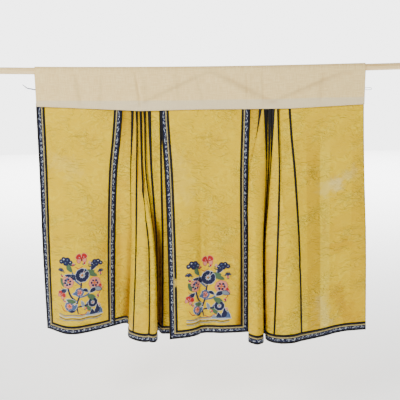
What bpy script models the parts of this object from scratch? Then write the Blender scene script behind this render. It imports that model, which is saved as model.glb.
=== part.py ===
"""A pleated wrap skirt on a folded waistband, hung over a wooden rod.

+X to the viewer's right, the front faces -Y, +Z up. The origin is the middle of the rod.
Lengths in the tables are in millimetres; "fwd" is how far a point stands toward the viewer.
Each half of the skirt is one run of cloth: outer panel, six gores, inner panel.
"""
import math

import bpy
import numpy as np

MM = 0.001

# rod
ROD_LENGTH = 1500.0
ROD_RADIUS = 11.5
ROD_SAG = 9.0
ROD_SIDES = 20
ROD_SPANS = 14

# cloth
SKIRT_WALL = 1.3
BAND_WALL = 1.8
SEAM_GAP = 0.3
TRIM_WALL = 1.0
TRIM_LIFT = 0.3
PIPING_HALF = 3.2
TUCKED_TOP = 12.0

# steps across each gore, more where it carries a wide fold
GORE_STEPS = {"LEFT": (6, 7, 6, 6, 6, 6), "RIGHT": (6, 9, 6, 6, 7, 8)}
PANEL_STEPS = 15

# bands of a panel's frame and of the hem: black binding, woven ribbon, gold braid, black cord edge
BANDS = ("binding", "ribbon", "braid", "cord_edge")
BAND_EDGES = (0.0, 6.5, 17.5, 22.0, 30.0)

# heights of the four shapes of each half
UPPER_Z = -330.0
MIDDLE_Z = -580.0

# rows between the top and the hem trims, as parts of the way down
ROW_PARTS = (0.0, 0.035, 0.13, 0.26, 0.41, 0.57, 0.77)

# waistband: how far its lower edge and its top hang below or above the rod's middle
BAND_LOWER = ((-561, -114.6), (-442, -120.7), (-282, -129.3), (-203, -133.6), (0, -130.6),
              (135, -131.3), (306, -130.9), (561, -119.2))
BAND_PROFILE = ((7.8, -1.0), (8.3, -0.8), (9.5, -0.52), (11.2, -0.25), (13.3, -0.07))
BAND_ROUND = ((13.5, 2.0), (10.6, 8.6), (4.2, 13.1), (-4.2, 13.1), (-10.6, 8.6), (-13.5, 2.0))
BAND_BACK = ((-13.2, -0.07), (-11.2, -0.25), (-9.6, -0.52), (-8.6, -0.8), (-8.0, -1.0))
BAND_COLUMNS = 26
BAND_HALF = 560.0

# soft folds of the waistband: place at the top and at the lower edge, height, half width
BAND_FOLDS = ((-203, -196, 2.2, 16), (30, -165, 1.8, 45), (40, 185, 1.6, 45), (505, 300, 1.8, 40),
              (-430, -455, 1.2, 40))

# stations of the left half, in the order of the cloth
# name, waist x fwd, upper x fwd, middle x fwd, hem x fwd z
LEFT = (
    ("edge", -563, 0.0, -562, 0, -566, -10, -568, -32, -917),
    ("bulge", -451, 1.6, -456, 8, -462, 13, -471, 18, -925),
    ("wane", -362, 1.6, -370, 3, -380, -6, -393, -22, -926),
    ("seam 0", -266, 1.6, -291, -12, -310, -40, -325, -70, -924),
    ("dip", -254, 0.6, -274, -11, -293, -50, -307, -80, -922),
    ("dip", -242, -0.8, -258, -8, -270, -46, -285, -84, -920),
    ("seam 1", -230, -2.0, -240, -3, -247, -16, -267, -46, -926),
    ("fold", -228, 0.8, -242, 4, -248, 6, -268, 14, -934),
    ("fold", -224, 3.2, -237, 12, -239, 20, -259, 36, -935),
    ("seam 2", -217, 2.0, -223, 15, -229, 30, -248, 50, -934),
    ("lobe", None, None, None, None, -215, 38, -231, 60, -936),
    ("lobe", None, None, None, None, -201, 42, -210, 70, -936),
    ("seam 3", -203, 2.0, -203, 18, -187, 45, -190, 80, -933),
    ("lobe", None, None, None, None, -177, 47, -175, 85, -934),
    ("fold", None, None, None, None, -169, 34, -164, 66, -934),
    ("seam 4", -190, 2.0, -191, 15, -169, 5, -164, 15, -934),
    ("under", None, None, None, None, -170, -10, -168, -14, -934),
    ("under", None, None, None, None, -170, -24, -174, -34, -934),
    ("seam 5", -174, 2.0, -172, 8, -163, -32, -170, -46, -933),
    ("step", -166, -1.0, -162, 3, -155, -31, -162, -38, -934),
    ("step", -154, -1.8, -151, -3, -147, -20, -155, -20, -935),
    ("seam 6", -138, -1.8, -139, -5, -139, -9, -147, -6, -935),
    ("inner", -60, -1.8, -60, -5, -62, -12, -66, -4, -934),
    ("inner", 40, -1.8, 40, -7, 38, -14, 36, -16, -932),
    ("free edge", 150, -1.8, 148, -8, 146, -16, 142, -20, -930),
)

# stations of the right half
RIGHT = (
    ("edge", -139, 1.6, -128, 8, -121, 30, -118, 55, -934),
    ("fold", -15, 1.6, -16, 7, -21, 24, -28, 40, -928),
    ("fold", 9, 1.6, 7, 3, 2, 5, -5, 6, -930),
    ("flat", 84, 1.6, 83, 3, 78, 4, 72, 5, -931),
    ("seam 0", 171, 1.6, 165, 0, 165, 0, 166, 0, -929),
    ("plain", 182, 0.8, 169, 1, 166, 12, 167, 32, -929),
    ("plain", 194, -0.2, 174, 3, 166, 28, 164, 66, -928),
    ("seam 1", 207, -1.0, 180, 6, 164, 44, 161, 98, -927),
    ("fold", 211, 1.2, 168, 18, 161, 62, 157, 120, -921),
    ("lobe", 213, 2.6, 192, 27, 183, 78, 180, 145, -922),
    ("seam 2", 223, 1.0, 226, 6, 212, 32, 209, 74, -926),
    ("under", 228, 0.0, 229, 0, 212, 18, 209, 42, -930),
    ("under", 233, -1.0, 231, -7, 214, 0, 211, 10, -933),
    ("seam 3", 238, -1.4, 236, -11, 220, -9, 217, 0, -935),
    ("under", 242, -1.2, 240, -8, 226, 0, 223, 10, -934),
    ("under", 246, -0.6, 241, -3, 227, 12, 224, 32, -933),
    ("seam 4", 250, 0.2, 242, 3, 225, 26, 221, 54, -931),
    ("fold", 254, 2.0, 245, 10, 223, 46, 221, 88, -926),
    ("fold", 258, 3.2, 254, 17, 238, 60, 230, 104, -927),
    ("seam 5", 266, 2.0, 270, 19, 261, 67, 245, 113, -929),
    ("bulge", None, None, None, None, 285, 78, 272, 140, -922),
    ("bulge", None, None, None, None, 312, 74, 306, 138, -921),
    ("seam 6", 305, 0.6, 322, 14, 334, 58, 339, 113, -923),
    ("inner", 410, 0.0, 419, 6, 422, 30, 423, 60, -927),
    ("inner", 479, 0.0, 489, 2, 492, 14, 490, 25, -924),
    ("free edge", 560, 0.0, 567, 0, 579, 2, 586, 8, -922),
)

# the lobe of right gore 2 needs its right-hand fold as well: x and fwd at the four heights
RIGHT_LOBE_FOLD = (216, 3.4, 219, 20, 207, 62, 204, 122, -926)

# seams with a knife pleat: how deep the cloth turns under, and the turn's radius, at waist and upper height
KNIFE = {
    "LEFT": {2: ((7.0, 1.5), (-1.5, 1.8)), 3: ((7.0, 1.5), (3.0, 2.2)), 4: ((7.0, 1.5), (4.0, 2.2))},
    "RIGHT": {5: ((7.0, 1.5), (-1.0, 2.0))},
}
# extra room between the layers of a knife pleat
KNIFE_ROOM = 2.2
# heading of the cloth just past such a seam in each row from the waist down, in degrees
KNIFE_HEADINGS = {
    "LEFT": {
        2: (-143, -143, -105, -60, -20),
        3: (-143, -143, -125, -105, -65),
        4: (-143, -143, -130, -115, -104),
    },
    "RIGHT": {5: (-143, -143, -120, -75, -25)},
}

# piping half width before and after each seam at waist, upper, middle, hem
PIPING_PLAIN = (3.2, 3.2, 3.2, 3.2)
PIPING_WIDE = (5.0, 3.4, 3.2, 3.2)
WIDE_SEAMS = {"LEFT": (), "RIGHT": (2, 3, 4)}

# tie cord stub at the left end, x fwd z, and the loop at the right end
TIE_POINTS = ((-560.5, 10.5, -58), (-574, 11.5, -55), (-587, 12, -52), (-595, 12, -46), (-602, 12, -40))
TIE_RADII = (1.7, 1.7, 1.4, 0.9, 0.6)
LOOP_POINTS = ((560.5, 10.5, -64), (572, 12, -63.5), (580, 13, -65), (581, 13, -69), (572, 12, -70.5),
               (560.5, 10.5, -70))
LOOP_RADIUS = 0.8
TUBE_SIDES = 8

# base colours, linear
COLOURS = {
    "silk": (0.66, 0.46, 0.045),
    "waistband_cotton": (0.66, 0.57, 0.42),
    "black_satin": (0.012, 0.009, 0.007),
    "woven_ribbon": (0.12, 0.14, 0.28),
    "gold_braid": (0.56, 0.47, 0.24),
    "pine": (0.78, 0.62, 0.4),
    "tie_cord": (0.2, 0.25, 0.36),
}
ROUGHNESS = {"silk": 0.45, "black_satin": 0.35, "gold_braid": 0.4}


def material(name):
    """The one material of a kind of cloth or wood."""
    found = bpy.data.materials.get(name)
    if found:
        return found
    made = bpy.data.materials.new(name)
    made.use_nodes = True
    shader = made.node_tree.nodes["Principled BSDF"]
    shader.inputs["Base Color"].default_value = (*COLOURS[name], 1.0)
    shader.inputs["Roughness"].default_value = ROUGHNESS.get(name, 0.8)
    made.diffuse_color = (*COLOURS[name], 1.0)
    return made


def node(name, verts, faces, kind, smooth=False):
    """One closed body as one object."""
    mesh = bpy.data.meshes.new(name)
    mesh.from_pydata([tuple(v) for v in verts], [], faces)
    mesh.validate()
    mesh.materials.append(material(kind))
    if smooth:
        mesh.polygons.foreach_set("use_smooth", [True] * len(mesh.polygons))
    made = bpy.data.objects.new(name, mesh)
    bpy.context.scene.collection.objects.link(made)
    return made


def between(table, x):
    """Value of a two-column table at x."""
    xs = [row[0] for row in table]
    values = [row[1] for row in table]
    return float(np.interp(x, xs, values))


def rod_height(x):
    """Middle of the rod at x: it sags under the skirt."""
    return ROD_SAG * (2.0 * x / ROD_LENGTH) ** 2


def spline(knots, values, at):
    """Smooth curve through values at the knots, with slopes from the neighbours."""
    knots = np.asarray(knots, float)
    values = np.asarray(values, float)
    steps = np.diff(knots)
    chords = np.diff(values, axis=0) / steps[:, None]
    slopes = np.empty_like(values)
    slopes[0] = chords[0]
    slopes[-1] = chords[-1]
    weight = steps[:-1, None] / (steps[:-1, None] + steps[1:, None])
    slopes[1:-1] = chords[:-1] * (1.0 - weight) + chords[1:] * weight
    out = []
    for t in at:
        i = int(np.clip(np.searchsorted(knots, t, side="right") - 1, 0, len(knots) - 2))
        h = steps[i]
        s = (t - knots[i]) / h
        a = values[i] * (1 + 2 * s) * (1 - s) ** 2 + values[i + 1] * s * s * (3 - 2 * s)
        b = slopes[i] * h * s * (1 - s) ** 2 - slopes[i + 1] * h * s * s * (1 - s)
        out.append(a + b)
    return np.array(out)


def along(points, distances):
    """Points at given distances along a smooth curve through a few stations."""
    points = np.asarray(points, float)
    chord = np.linalg.norm(np.diff(points[:, :2], axis=0), axis=1)
    knots = np.concatenate([[0.0], np.cumsum(np.maximum(chord, 1e-6))])
    fine_at = np.linspace(0.0, knots[-1], 161)
    fine = spline(knots, points, fine_at)
    run = np.concatenate([[0.0], np.cumsum(np.linalg.norm(np.diff(fine[:, :2], axis=0), axis=1))])
    wanted = distances(run[-1])
    return np.stack([np.interp(wanted, run, fine[:, k]) for k in range(fine.shape[1])], axis=1)


def panel_columns(length):
    """Distances of an outer panel's columns: its frame's edges, then even steps between."""
    inner = list(np.linspace(BAND_EDGES[-1], length - BAND_EDGES[-1], 8))
    return list(BAND_EDGES[:-1]) + inner + [length - e for e in reversed(BAND_EDGES[:-1])]


def inner_columns(length):
    """Distances of an inner panel's columns."""
    return [0.0, PIPING_HALF] + list(length * np.linspace(0.14, 1.0, 7))


def gore_columns(length, before, after, steps):
    """Distances of a gore's columns: the pipings' edges at both ends, even steps between."""
    between_edges = np.linspace(before, length - after, steps - 1)
    return [0.0] + list(between_edges) + [length]


def knife_columns(start, end, turn, arrives_at_knife, steps):
    """Columns of a gore that turns under its first seam and comes out to the next one."""
    x0, f0, z0 = start
    x1, f1, z1 = end
    under, radius = turn
    tip = x0 - under
    bend = 1.33 * radius
    columns = [
        (x0, f0),
        (x0 - bend, f0 - radius),
        (tip + bend, f0 - radius - 0.8),
        (tip, f0 - 2.0 * radius - KNIFE_ROOM),
        (tip + bend, f0 - 3.0 * radius - 1.4 * KNIFE_ROOM),
    ]
    last = (x1 - PIPING_HALF, f1 + 0.2)
    if arrives_at_knife:
        last = (x1 - bend, f1 + radius)
    extra = steps - 6
    for i in range(extra):
        part = (i + 1) / (extra + 1)
        columns.append(tuple(np.array(columns[4]) * (1 - part) + np.array(last) * part))
    columns.append(last)
    columns.append((x1, f1))
    heights = np.linspace(z0, z1, steps + 1)
    return [(x, f, z) for (x, f), z in zip(columns, heights)]


def seam_rows(table):
    """Indexes of the seam rows in a half's table."""
    return [i for i, row in enumerate(table) if row[0].startswith("seam")]


def level_points(table, level, rows):
    """Stations (x, fwd, z) of some rows at one of the four heights."""
    heights = (None, UPPER_Z, MIDDLE_Z, None)
    out = []
    for i in rows:
        row = table[i]
        x = row[1 + 2 * level]
        fwd = row[2 + 2 * level]
        if x is None:
            continue
        z = heights[level]
        if level == 0:
            z = between(BAND_LOWER, x) + TUCKED_TOP
        if level == 3:
            z = row[9]
        out.append((x, fwd, z))
    return out


def half_levels(side, table):
    """The columns of one half at the four heights, and each column's place in the half."""
    seams = seam_rows(table)
    knives = KNIFE[side]
    wide = WIDE_SEAMS[side]
    levels = []
    for level in range(4):
        columns = list(along(level_points(table, level, range(0, seams[0] + 1)), panel_columns))
        for k in range(6):
            rows = range(seams[k], seams[k + 1] + 1)
            points = level_points(table, level, rows)
            if side == "RIGHT" and k == 1:
                fold = (("fold",) + RIGHT_LOBE_FOLD,)
                points = points[:-1] + level_points(fold, level, [0]) + points[-1:]
            before = (PIPING_WIDE if k in wide else PIPING_PLAIN)[level]
            after = (PIPING_WIDE if k + 1 in wide else PIPING_PLAIN)[level]
            last_knife = k + 1 in knives and level < 2
            steps = GORE_STEPS[side][k]
            if k in knives and level < 2:
                made = knife_columns(points[0], points[-1], knives[k][level], last_knife, steps)
            else:
                made = along(points, lambda run, b=before, a=after, n=steps: gore_columns(run, b, a, n))
                made = [tuple(p) for p in made]
                if last_knife:
                    radius = knives[k + 1][level][1]
                    x1, f1, z1 = points[-1]
                    made[-2] = (x1 - 1.33 * radius, f1 + radius, z1)
            columns += [np.array(p) for p in made[1:]]
        rows = range(seams[6], len(table))
        columns += list(along(level_points(table, level, rows), inner_columns))[1:]
        levels.append(np.array(columns))
    return levels


def half_grid(side, table):
    """Middle surface of one half: rows from the waist down, columns along the cloth."""
    levels = half_levels(side, table)
    count = levels[0].shape[0]
    hem_rows = len(BAND_EDGES)
    grid = np.empty((len(ROW_PARTS) + hem_rows, count, 3))
    for c in range(count):
        top = levels[0][c]
        hem = levels[3][c]
        tall = top[2] - hem[2]
        knots = [0.0, (top[2] - UPPER_Z) / tall, (top[2] - MIDDLE_Z) / tall, 1.0]
        values = [level[c] for level in levels]
        parts = list(ROW_PARTS) + [1.0 - e / tall for e in reversed(BAND_EDGES)]
        # the pleats stay pressed for the first stretch under the waistband
        shapes = [values[0], pressed(values, knots)] + values[1:]
        column = spline([0.0, 0.05] + knots[1:], shapes, parts)
        column[:, 2] = top[2] + (hem[2] - top[2]) * np.array(parts)
        grid[:, c] = column
    for k, headings in KNIFE_HEADINGS[side].items():
        seam = seam_columns(side)[k]
        for row, heading in enumerate(headings):
            angle = math.radians(heading)
            leg = np.array((math.cos(angle), math.sin(angle))) * PIPING_HALF
            grid[row, seam + 1, :2] = grid[row, seam, :2] + leg
            grid[row, seam + 2, :2] = (grid[row, seam + 1, :2] + grid[row, seam + 3, :2]) / 2.0
    for seam in seam_columns(side)[1:]:
        for beside in (seam - 1, seam + 1):
            leg = grid[:, beside, :2] - grid[:, seam, :2]
            length = np.linalg.norm(leg, axis=1, keepdims=True)
            grid[:, beside, :2] = grid[:, seam, :2] + leg * np.maximum(1.0, PIPING_HALF / length)
    return grid


def seam_columns(side):
    """Column of each of a half's seven seams."""
    return [PANEL_STEPS + int(n) for n in np.concatenate([[0], np.cumsum(GORE_STEPS[side])])]


def pressed(values, knots):
    """Shape just under the waistband: a tenth of the way to the upper shape."""
    share = 0.05 / knots[1]
    return values[0] * (1.0 - share * 0.6) + values[1] * share * 0.6


def outward(grid):
    """Offset vector per unit of thickness at each grid point, longer where the cloth turns."""
    across = np.empty_like(grid)
    legs = np.diff(grid, axis=1)
    unit = legs / np.linalg.norm(legs, axis=2, keepdims=True)
    across[:, 0] = unit[:, 0]
    across[:, -1] = unit[:, -1]
    across[:, 1:-1] = unit[:, :-1] + unit[:, 1:]
    turn = np.ones(grid.shape[:2])
    length = np.linalg.norm(across[:, 1:-1], axis=2)
    turn[:, 1:-1] = np.minimum(2.0 / np.maximum(length, 0.2), 1.6)
    across /= np.linalg.norm(across, axis=2, keepdims=True)
    down = np.gradient(grid, axis=0)
    down /= np.linalg.norm(down, axis=2, keepdims=True)
    normal = np.cross(across, down)
    normal /= np.linalg.norm(normal, axis=2, keepdims=True)
    return normal * turn[..., None]


def shifted(values, row, column, row_shift, column_shift, grid):
    """A grid value moved a short distance along the rows or the columns."""
    base = values[row, column]
    if column_shift:
        step = 1 if column_shift > 0 else -1
        leg = np.linalg.norm(grid[row, column + step] - grid[row, column])
        base = base + (values[row, column + step] - values[row, column]) * abs(column_shift) / leg
    if row_shift:
        step = 1 if row_shift > 0 else -1
        leg = np.linalg.norm(grid[row + step, column] - grid[row, column])
        base = base + (values[row + step, column] - values[row, column]) * abs(row_shift) / leg
    return base


def slab(name, half, rows, columns, low, high, kind, keep=None):
    """A closed wall over cells of a half's grid, between two distances from the middle surface.

    rows and columns are lists of (index, shift); keep(r, c) tells which cells belong.
    """
    grid, normals = half
    cells = []
    for r in range(len(rows) - 1):
        for c in range(len(columns) - 1):
            if keep is None or keep(r, c):
                cells.append((r, c))
    index = {}
    verts = []

    def corner(r, c, layer):
        key = (r, c, layer)
        if key not in index:
            row, row_shift = rows[r]
            column, column_shift = columns[c]
            point = shifted(grid, row, column, row_shift, column_shift, grid)
            normal = shifted(normals, row, column, row_shift, column_shift, grid)
            spot = point + normal * (high if layer else low)
            index[key] = len(verts)
            verts.append((spot[0] * MM, -spot[1] * MM, spot[2] * MM))
        return index[key]

    faces = []
    present = set(cells)
    for r, c in cells:
        a, b, d, e = corner(r, c, 1), corner(r, c + 1, 1), corner(r + 1, c + 1, 1), corner(r + 1, c, 1)
        faces += [(a, e, d), (a, d, b)]
        p, q, s, t = corner(r, c, 0), corner(r, c + 1, 0), corner(r + 1, c + 1, 0), corner(r + 1, c, 0)
        faces += [(p, s, t), (p, q, s)]
        if (r - 1, c) not in present:
            faces += [(a, b, q), (a, q, p)]
        if (r + 1, c) not in present:
            faces += [(e, t, s), (e, s, d)]
        if (r, c - 1) not in present:
            faces += [(a, p, t), (a, t, e)]
        if (r, c + 1) not in present:
            faces += [(b, d, s), (b, s, q)]
    return node(name, verts, faces, kind)


def build_half(side, word, outer_name, table):
    """Walls and trims of one half."""
    grid = half_grid(side, table)
    half = (grid, outward(grid))
    row_count, column_count = grid.shape[:2]
    seams = seam_columns(side)
    panel_end = seams[0]
    hem_first = len(ROW_PARTS)
    every_row = [(r, 0.0) for r in range(row_count)]
    gap = SEAM_GAP / 2.0
    low = -SKIRT_WALL / 2.0
    high = SKIRT_WALL / 2.0
    trim_low = high + TRIM_LIFT
    trim_high = trim_low + TRIM_WALL

    columns = [(c, 0.0) for c in range(panel_end)] + [(panel_end, -gap)]
    slab(outer_name, half, every_row, columns, low, high, "silk")
    for k in range(6):
        first, last = seams[k], seams[k + 1]
        columns = [(first, gap)] + [(c, 0.0) for c in range(first + 1, last)] + [(last, -gap)]
        slab(f"{word}_gore_{k + 1}", half, every_row, columns, low, high, "silk")
    columns = [(seams[6], gap)] + [(c, 0.0) for c in range(seams[6] + 1, column_count)]
    slab(f"{word}_inner_panel", half, every_row, columns, low, high, "silk")

    kinds = {"binding": "black_satin", "ribbon": "woven_ribbon", "braid": "gold_braid",
             "cord_edge": "black_satin"}
    for k, band in enumerate(BANDS):
        # the U-shaped frame of the outer panel
        start = gap if k else 0.0
        right_end = panel_end - k
        columns = [(k, start), (k + 1, -gap)]
        columns += [(c, 0.0) for c in range(k + 2, right_end - 1)]
        columns += [(right_end - 1, gap), (right_end, -gap)]
        rows = [(r, 0.0) for r in range(row_count - 2 - k)]
        rows += [(row_count - 2 - k, gap), (row_count - 1 - k, -gap if k else 0.0)]
        last_row = len(rows) - 2
        last_column = len(columns) - 2
        slab(f"{outer_name}_{band}", half, rows, columns, trim_low, trim_high, kinds[band],
             keep=lambda r, c, lr=last_row, lc=last_column: r == lr or c in (0, lc))
        # the straight band along the hem of the gores and the inner panel
        rows = [(row_count - 2 - k, gap), (row_count - 1 - k, -gap if k else 0.0)]
        columns = [(panel_end, gap)] + [(c, 0.0) for c in range(panel_end + 1, column_count)]
        slab(f"{word}_hem_{band}", half, rows, columns, trim_low, trim_high, kinds[band])

    for k in range(1, 7):
        middle = seams[k]
        columns = [(middle - 1, 0.0), (middle, 0.0), (middle + 1, 0.0)]
        rows = [(r, 0.0) for r in range(hem_first)] + [(hem_first, -SEAM_GAP)]
        slab(f"{word}_piping_{k}", half, rows, columns, trim_low, trim_high, "black_satin")


def fold_lift(x, part):
    """How far a soft fold lifts the waistband at x, part 0 at the top to 1 at the lower edge."""
    lift = 0.0
    for top_x, low_x, height, half_width in BAND_FOLDS:
        away = (x - (top_x + (low_x - top_x) * part)) / half_width
        lift += height * math.exp(-away * away) * math.sin(math.pi * min(max(part * 0.9 + 0.1, 0), 1))
    return lift


def build_waistband():
    """Cotton band folded over the rod, its two leaves meeting the skirt's top edge."""
    xs = np.linspace(-BAND_HALF, BAND_HALF, BAND_COLUMNS + 1)
    grid = []
    for fwd, part in BAND_PROFILE:
        grid.append([(x, fwd + fold_lift(x, -part), band_z(x, part)) for x in xs])
    for fwd, up in BAND_ROUND:
        grid.append([(x, fwd, rod_height(x) + up) for x in xs])
    for fwd, part in BAND_BACK:
        grid.append([(x, fwd, band_z(x, part)) for x in xs])
    grid = np.array(grid)[::-1]
    normals = outward(grid)
    rows = [(r, 0.0) for r in range(grid.shape[0])]
    columns = [(c, 0.0) for c in range(grid.shape[1])]
    slab("waistband", (grid, -normals), rows, columns, BAND_WALL / 2.0, -BAND_WALL / 2.0, "waistband_cotton")


def band_z(x, part):
    """Height on a leaf of the waistband: part 0 at the rod's middle, -1 at the lower edge."""
    return rod_height(x) * (1.0 + part) - part * between(BAND_LOWER, x)


def build_rod():
    """Pale rod, level at both ends and sagging a little between."""
    verts = []
    faces = []
    for i in range(ROD_SPANS + 1):
        x = -ROD_LENGTH / 2.0 + ROD_LENGTH * i / ROD_SPANS
        for j in range(ROD_SIDES):
            angle = 2.0 * math.pi * j / ROD_SIDES
            y = ROD_RADIUS * math.cos(angle)
            z = rod_height(x) + ROD_RADIUS * math.sin(angle)
            verts.append((x * MM, y * MM, z * MM))
    for i in range(ROD_SPANS):
        for j in range(ROD_SIDES):
            a = i * ROD_SIDES + j
            b = i * ROD_SIDES + (j + 1) % ROD_SIDES
            faces.append((a, b, b + ROD_SIDES, a + ROD_SIDES))
    last = ROD_SPANS * ROD_SIDES
    faces.append(tuple(reversed(range(ROD_SIDES))))
    faces.append(tuple(range(last, last + ROD_SIDES)))
    node("rod", verts, faces, "pine", smooth=True)


def build_tube(name, points, radii, kind):
    """Round cord through a few points (x, fwd, z)."""
    path = np.array([(x, -fwd, z) for x, fwd, z in points], float)
    knots = np.concatenate([[0.0], np.cumsum(np.linalg.norm(np.diff(path, axis=0), axis=1))])
    at = np.linspace(0.0, knots[-1], 2 * len(points) - 1)
    fine = spline(knots, path, at)
    sizes = np.interp(at, knots, radii)
    tangents = np.gradient(fine, axis=0)
    verts = []
    faces = []
    for point, tangent, size in zip(fine, tangents, sizes):
        tangent = tangent / np.linalg.norm(tangent)
        side = np.cross(tangent, (0.0, 1.0, 0.0))
        side /= np.linalg.norm(side)
        up = np.cross(side, tangent)
        for j in range(TUBE_SIDES):
            angle = 2.0 * math.pi * j / TUBE_SIDES
            spot = point + size * (math.cos(angle) * side + math.sin(angle) * up)
            verts.append(tuple(spot * MM))
    for i in range(len(fine) - 1):
        for j in range(TUBE_SIDES):
            a = i * TUBE_SIDES + j
            b = i * TUBE_SIDES + (j + 1) % TUBE_SIDES
            faces.append((a, a + TUBE_SIDES, b + TUBE_SIDES, b))
    last = (len(fine) - 1) * TUBE_SIDES
    faces.append(tuple(range(TUBE_SIDES)))
    faces.append(tuple(reversed(range(last, last + TUBE_SIDES))))
    node(name, verts, faces, kind, smooth=True)


def main():
    """Clear the scene and build every piece."""
    for item in list(bpy.data.objects):
        bpy.data.objects.remove(item, do_unlink=True)
    build_rod()
    build_waistband()
    build_half("LEFT", "left", "left_panel", LEFT)
    build_half("RIGHT", "right", "middle_panel", RIGHT)
    build_tube("tie_left", TIE_POINTS, TIE_RADII, "tie_cord")
    build_tube("loop_right", LOOP_POINTS, [LOOP_RADIUS] * len(LOOP_POINTS), "tie_cord")


main()
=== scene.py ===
import math

import bpy
import numpy as np
from mathutils import Matrix, Vector


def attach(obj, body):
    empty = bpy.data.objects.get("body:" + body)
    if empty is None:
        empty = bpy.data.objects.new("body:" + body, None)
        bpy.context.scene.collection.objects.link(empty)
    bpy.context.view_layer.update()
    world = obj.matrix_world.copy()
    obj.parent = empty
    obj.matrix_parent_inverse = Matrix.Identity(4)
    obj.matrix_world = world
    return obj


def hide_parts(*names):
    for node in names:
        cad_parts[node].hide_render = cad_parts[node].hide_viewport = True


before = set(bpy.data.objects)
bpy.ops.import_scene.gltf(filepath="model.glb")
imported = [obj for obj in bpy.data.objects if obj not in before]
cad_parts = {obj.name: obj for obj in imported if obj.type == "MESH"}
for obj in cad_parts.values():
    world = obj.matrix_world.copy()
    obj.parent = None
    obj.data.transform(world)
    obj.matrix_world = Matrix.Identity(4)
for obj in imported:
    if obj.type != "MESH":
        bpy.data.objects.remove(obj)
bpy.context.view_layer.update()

mm = 0.001

# the photograph's camera, worked out from the rod and the hem: lengths in metres
photoCamera = dict(distance=2.350, pitch=9.0, roll=0.66, focalPixels=671.4, imagePixels=400,
                   aim=(-0.00506, 0.0, -0.44495))

camera = bpy.data.objects.new("photoCamera", bpy.data.cameras.new("photoCamera"))
bpy.context.scene.collection.objects.link(camera)
camera.data.sensor_width = 36.0
camera.data.lens = 36.0 * photoCamera["focalPixels"] / photoCamera["imagePixels"]
camera.data.dof.use_dof = False
pitch = math.radians(photoCamera["pitch"])
roll = math.radians(photoCamera["roll"])
levelUp = Vector((0, math.sin(pitch), math.cos(pitch)))
back = Vector((0, -math.cos(pitch), math.sin(pitch)))
right = Vector((1, 0, 0)) * math.cos(roll) - levelUp * math.sin(roll)
up = Vector((1, 0, 0)) * math.sin(roll) + levelUp * math.cos(roll)
place = Vector(photoCamera["aim"]) + back * photoCamera["distance"]
camera.matrix_world = Matrix.Translation(place) @ Matrix((right, up, back)).transposed().to_4x4()
bpy.context.scene.camera = camera
print("camera set")


# colours and nodes

def linearColour(hexColour):
    channels = [int(hexColour[i:i + 2], 16) / 255 for i in (1, 3, 5)]
    channels = [c / 12.92 if c <= 0.04045 else ((c + 0.055) / 1.055) ** 2.4 for c in channels]
    return (*channels, 1.0)


def addNode(tree, kind, links=None, **settings):
    made = tree.nodes.new(kind)
    for key, value in settings.items():
        if hasattr(made, key):
            setattr(made, key, value)
    for key, value in (links or {}).items():
        target = made.inputs[key]
        if isinstance(value, bpy.types.NodeSocket):
            tree.links.new(value, target)
        else:
            target.default_value = value
    return made


def newMaterial(name, **shaderValues):
    made = bpy.data.materials.new(name)
    made.use_nodes = True
    tree = made.node_tree
    shader = tree.nodes["Principled BSDF"]
    for key, value in shaderValues.items():
        shader.inputs[key.replace("_", " ")].default_value = value
    return made, tree, shader


def mathNode(tree, operation, a, b=0.0, c=0.0, clamp=False):
    return addNode(tree, "ShaderNodeMath", {0: a, 1: b, 2: c}, operation=operation, use_clamp=clamp).outputs[0]


def blendColours(tree, factor, a, b, mode="MIX"):
    made = addNode(tree, "ShaderNodeMix", {0: factor, 6: a, 7: b}, data_type="RGBA", blend_type=mode)
    return made.outputs[2]


def stepBetween(tree, value, low, high):
    made = addNode(tree, "ShaderNodeMapRange", {0: value, 1: low, 2: high, 3: 0.0, 4: 1.0},
                   interpolation_type="SMOOTHSTEP")
    return made.outputs[0]


def clothPlace(tree):
    found = addNode(tree, "ShaderNodeUVMap", uv_map="cloth")
    parts = addNode(tree, "ShaderNodeSeparateXYZ", {0: found.outputs[0]})
    return found.outputs[0], parts.outputs[0], parts.outputs[1]


def stretched(tree, vector, x, y, z=1.0):
    return addNode(tree, "ShaderNodeVectorMath", {0: vector, 1: (x, y, z)}, operation="MULTIPLY").outputs[0]


def noiseAt(tree, vector, scale, detail=3.0, rough=0.5):
    made = addNode(tree, "ShaderNodeTexNoise", {"Vector": vector, "Scale": scale, "Detail": detail,
                                                 "Roughness": rough})
    return made.outputs[0]


def bumpInto(tree, shader, height, distance, strength=1.0):
    made = addNode(tree, "ShaderNodeBump", {"Height": height, "Distance": distance, "Strength": strength})
    tree.links.new(made.outputs[0], shader.inputs["Normal"])


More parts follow.
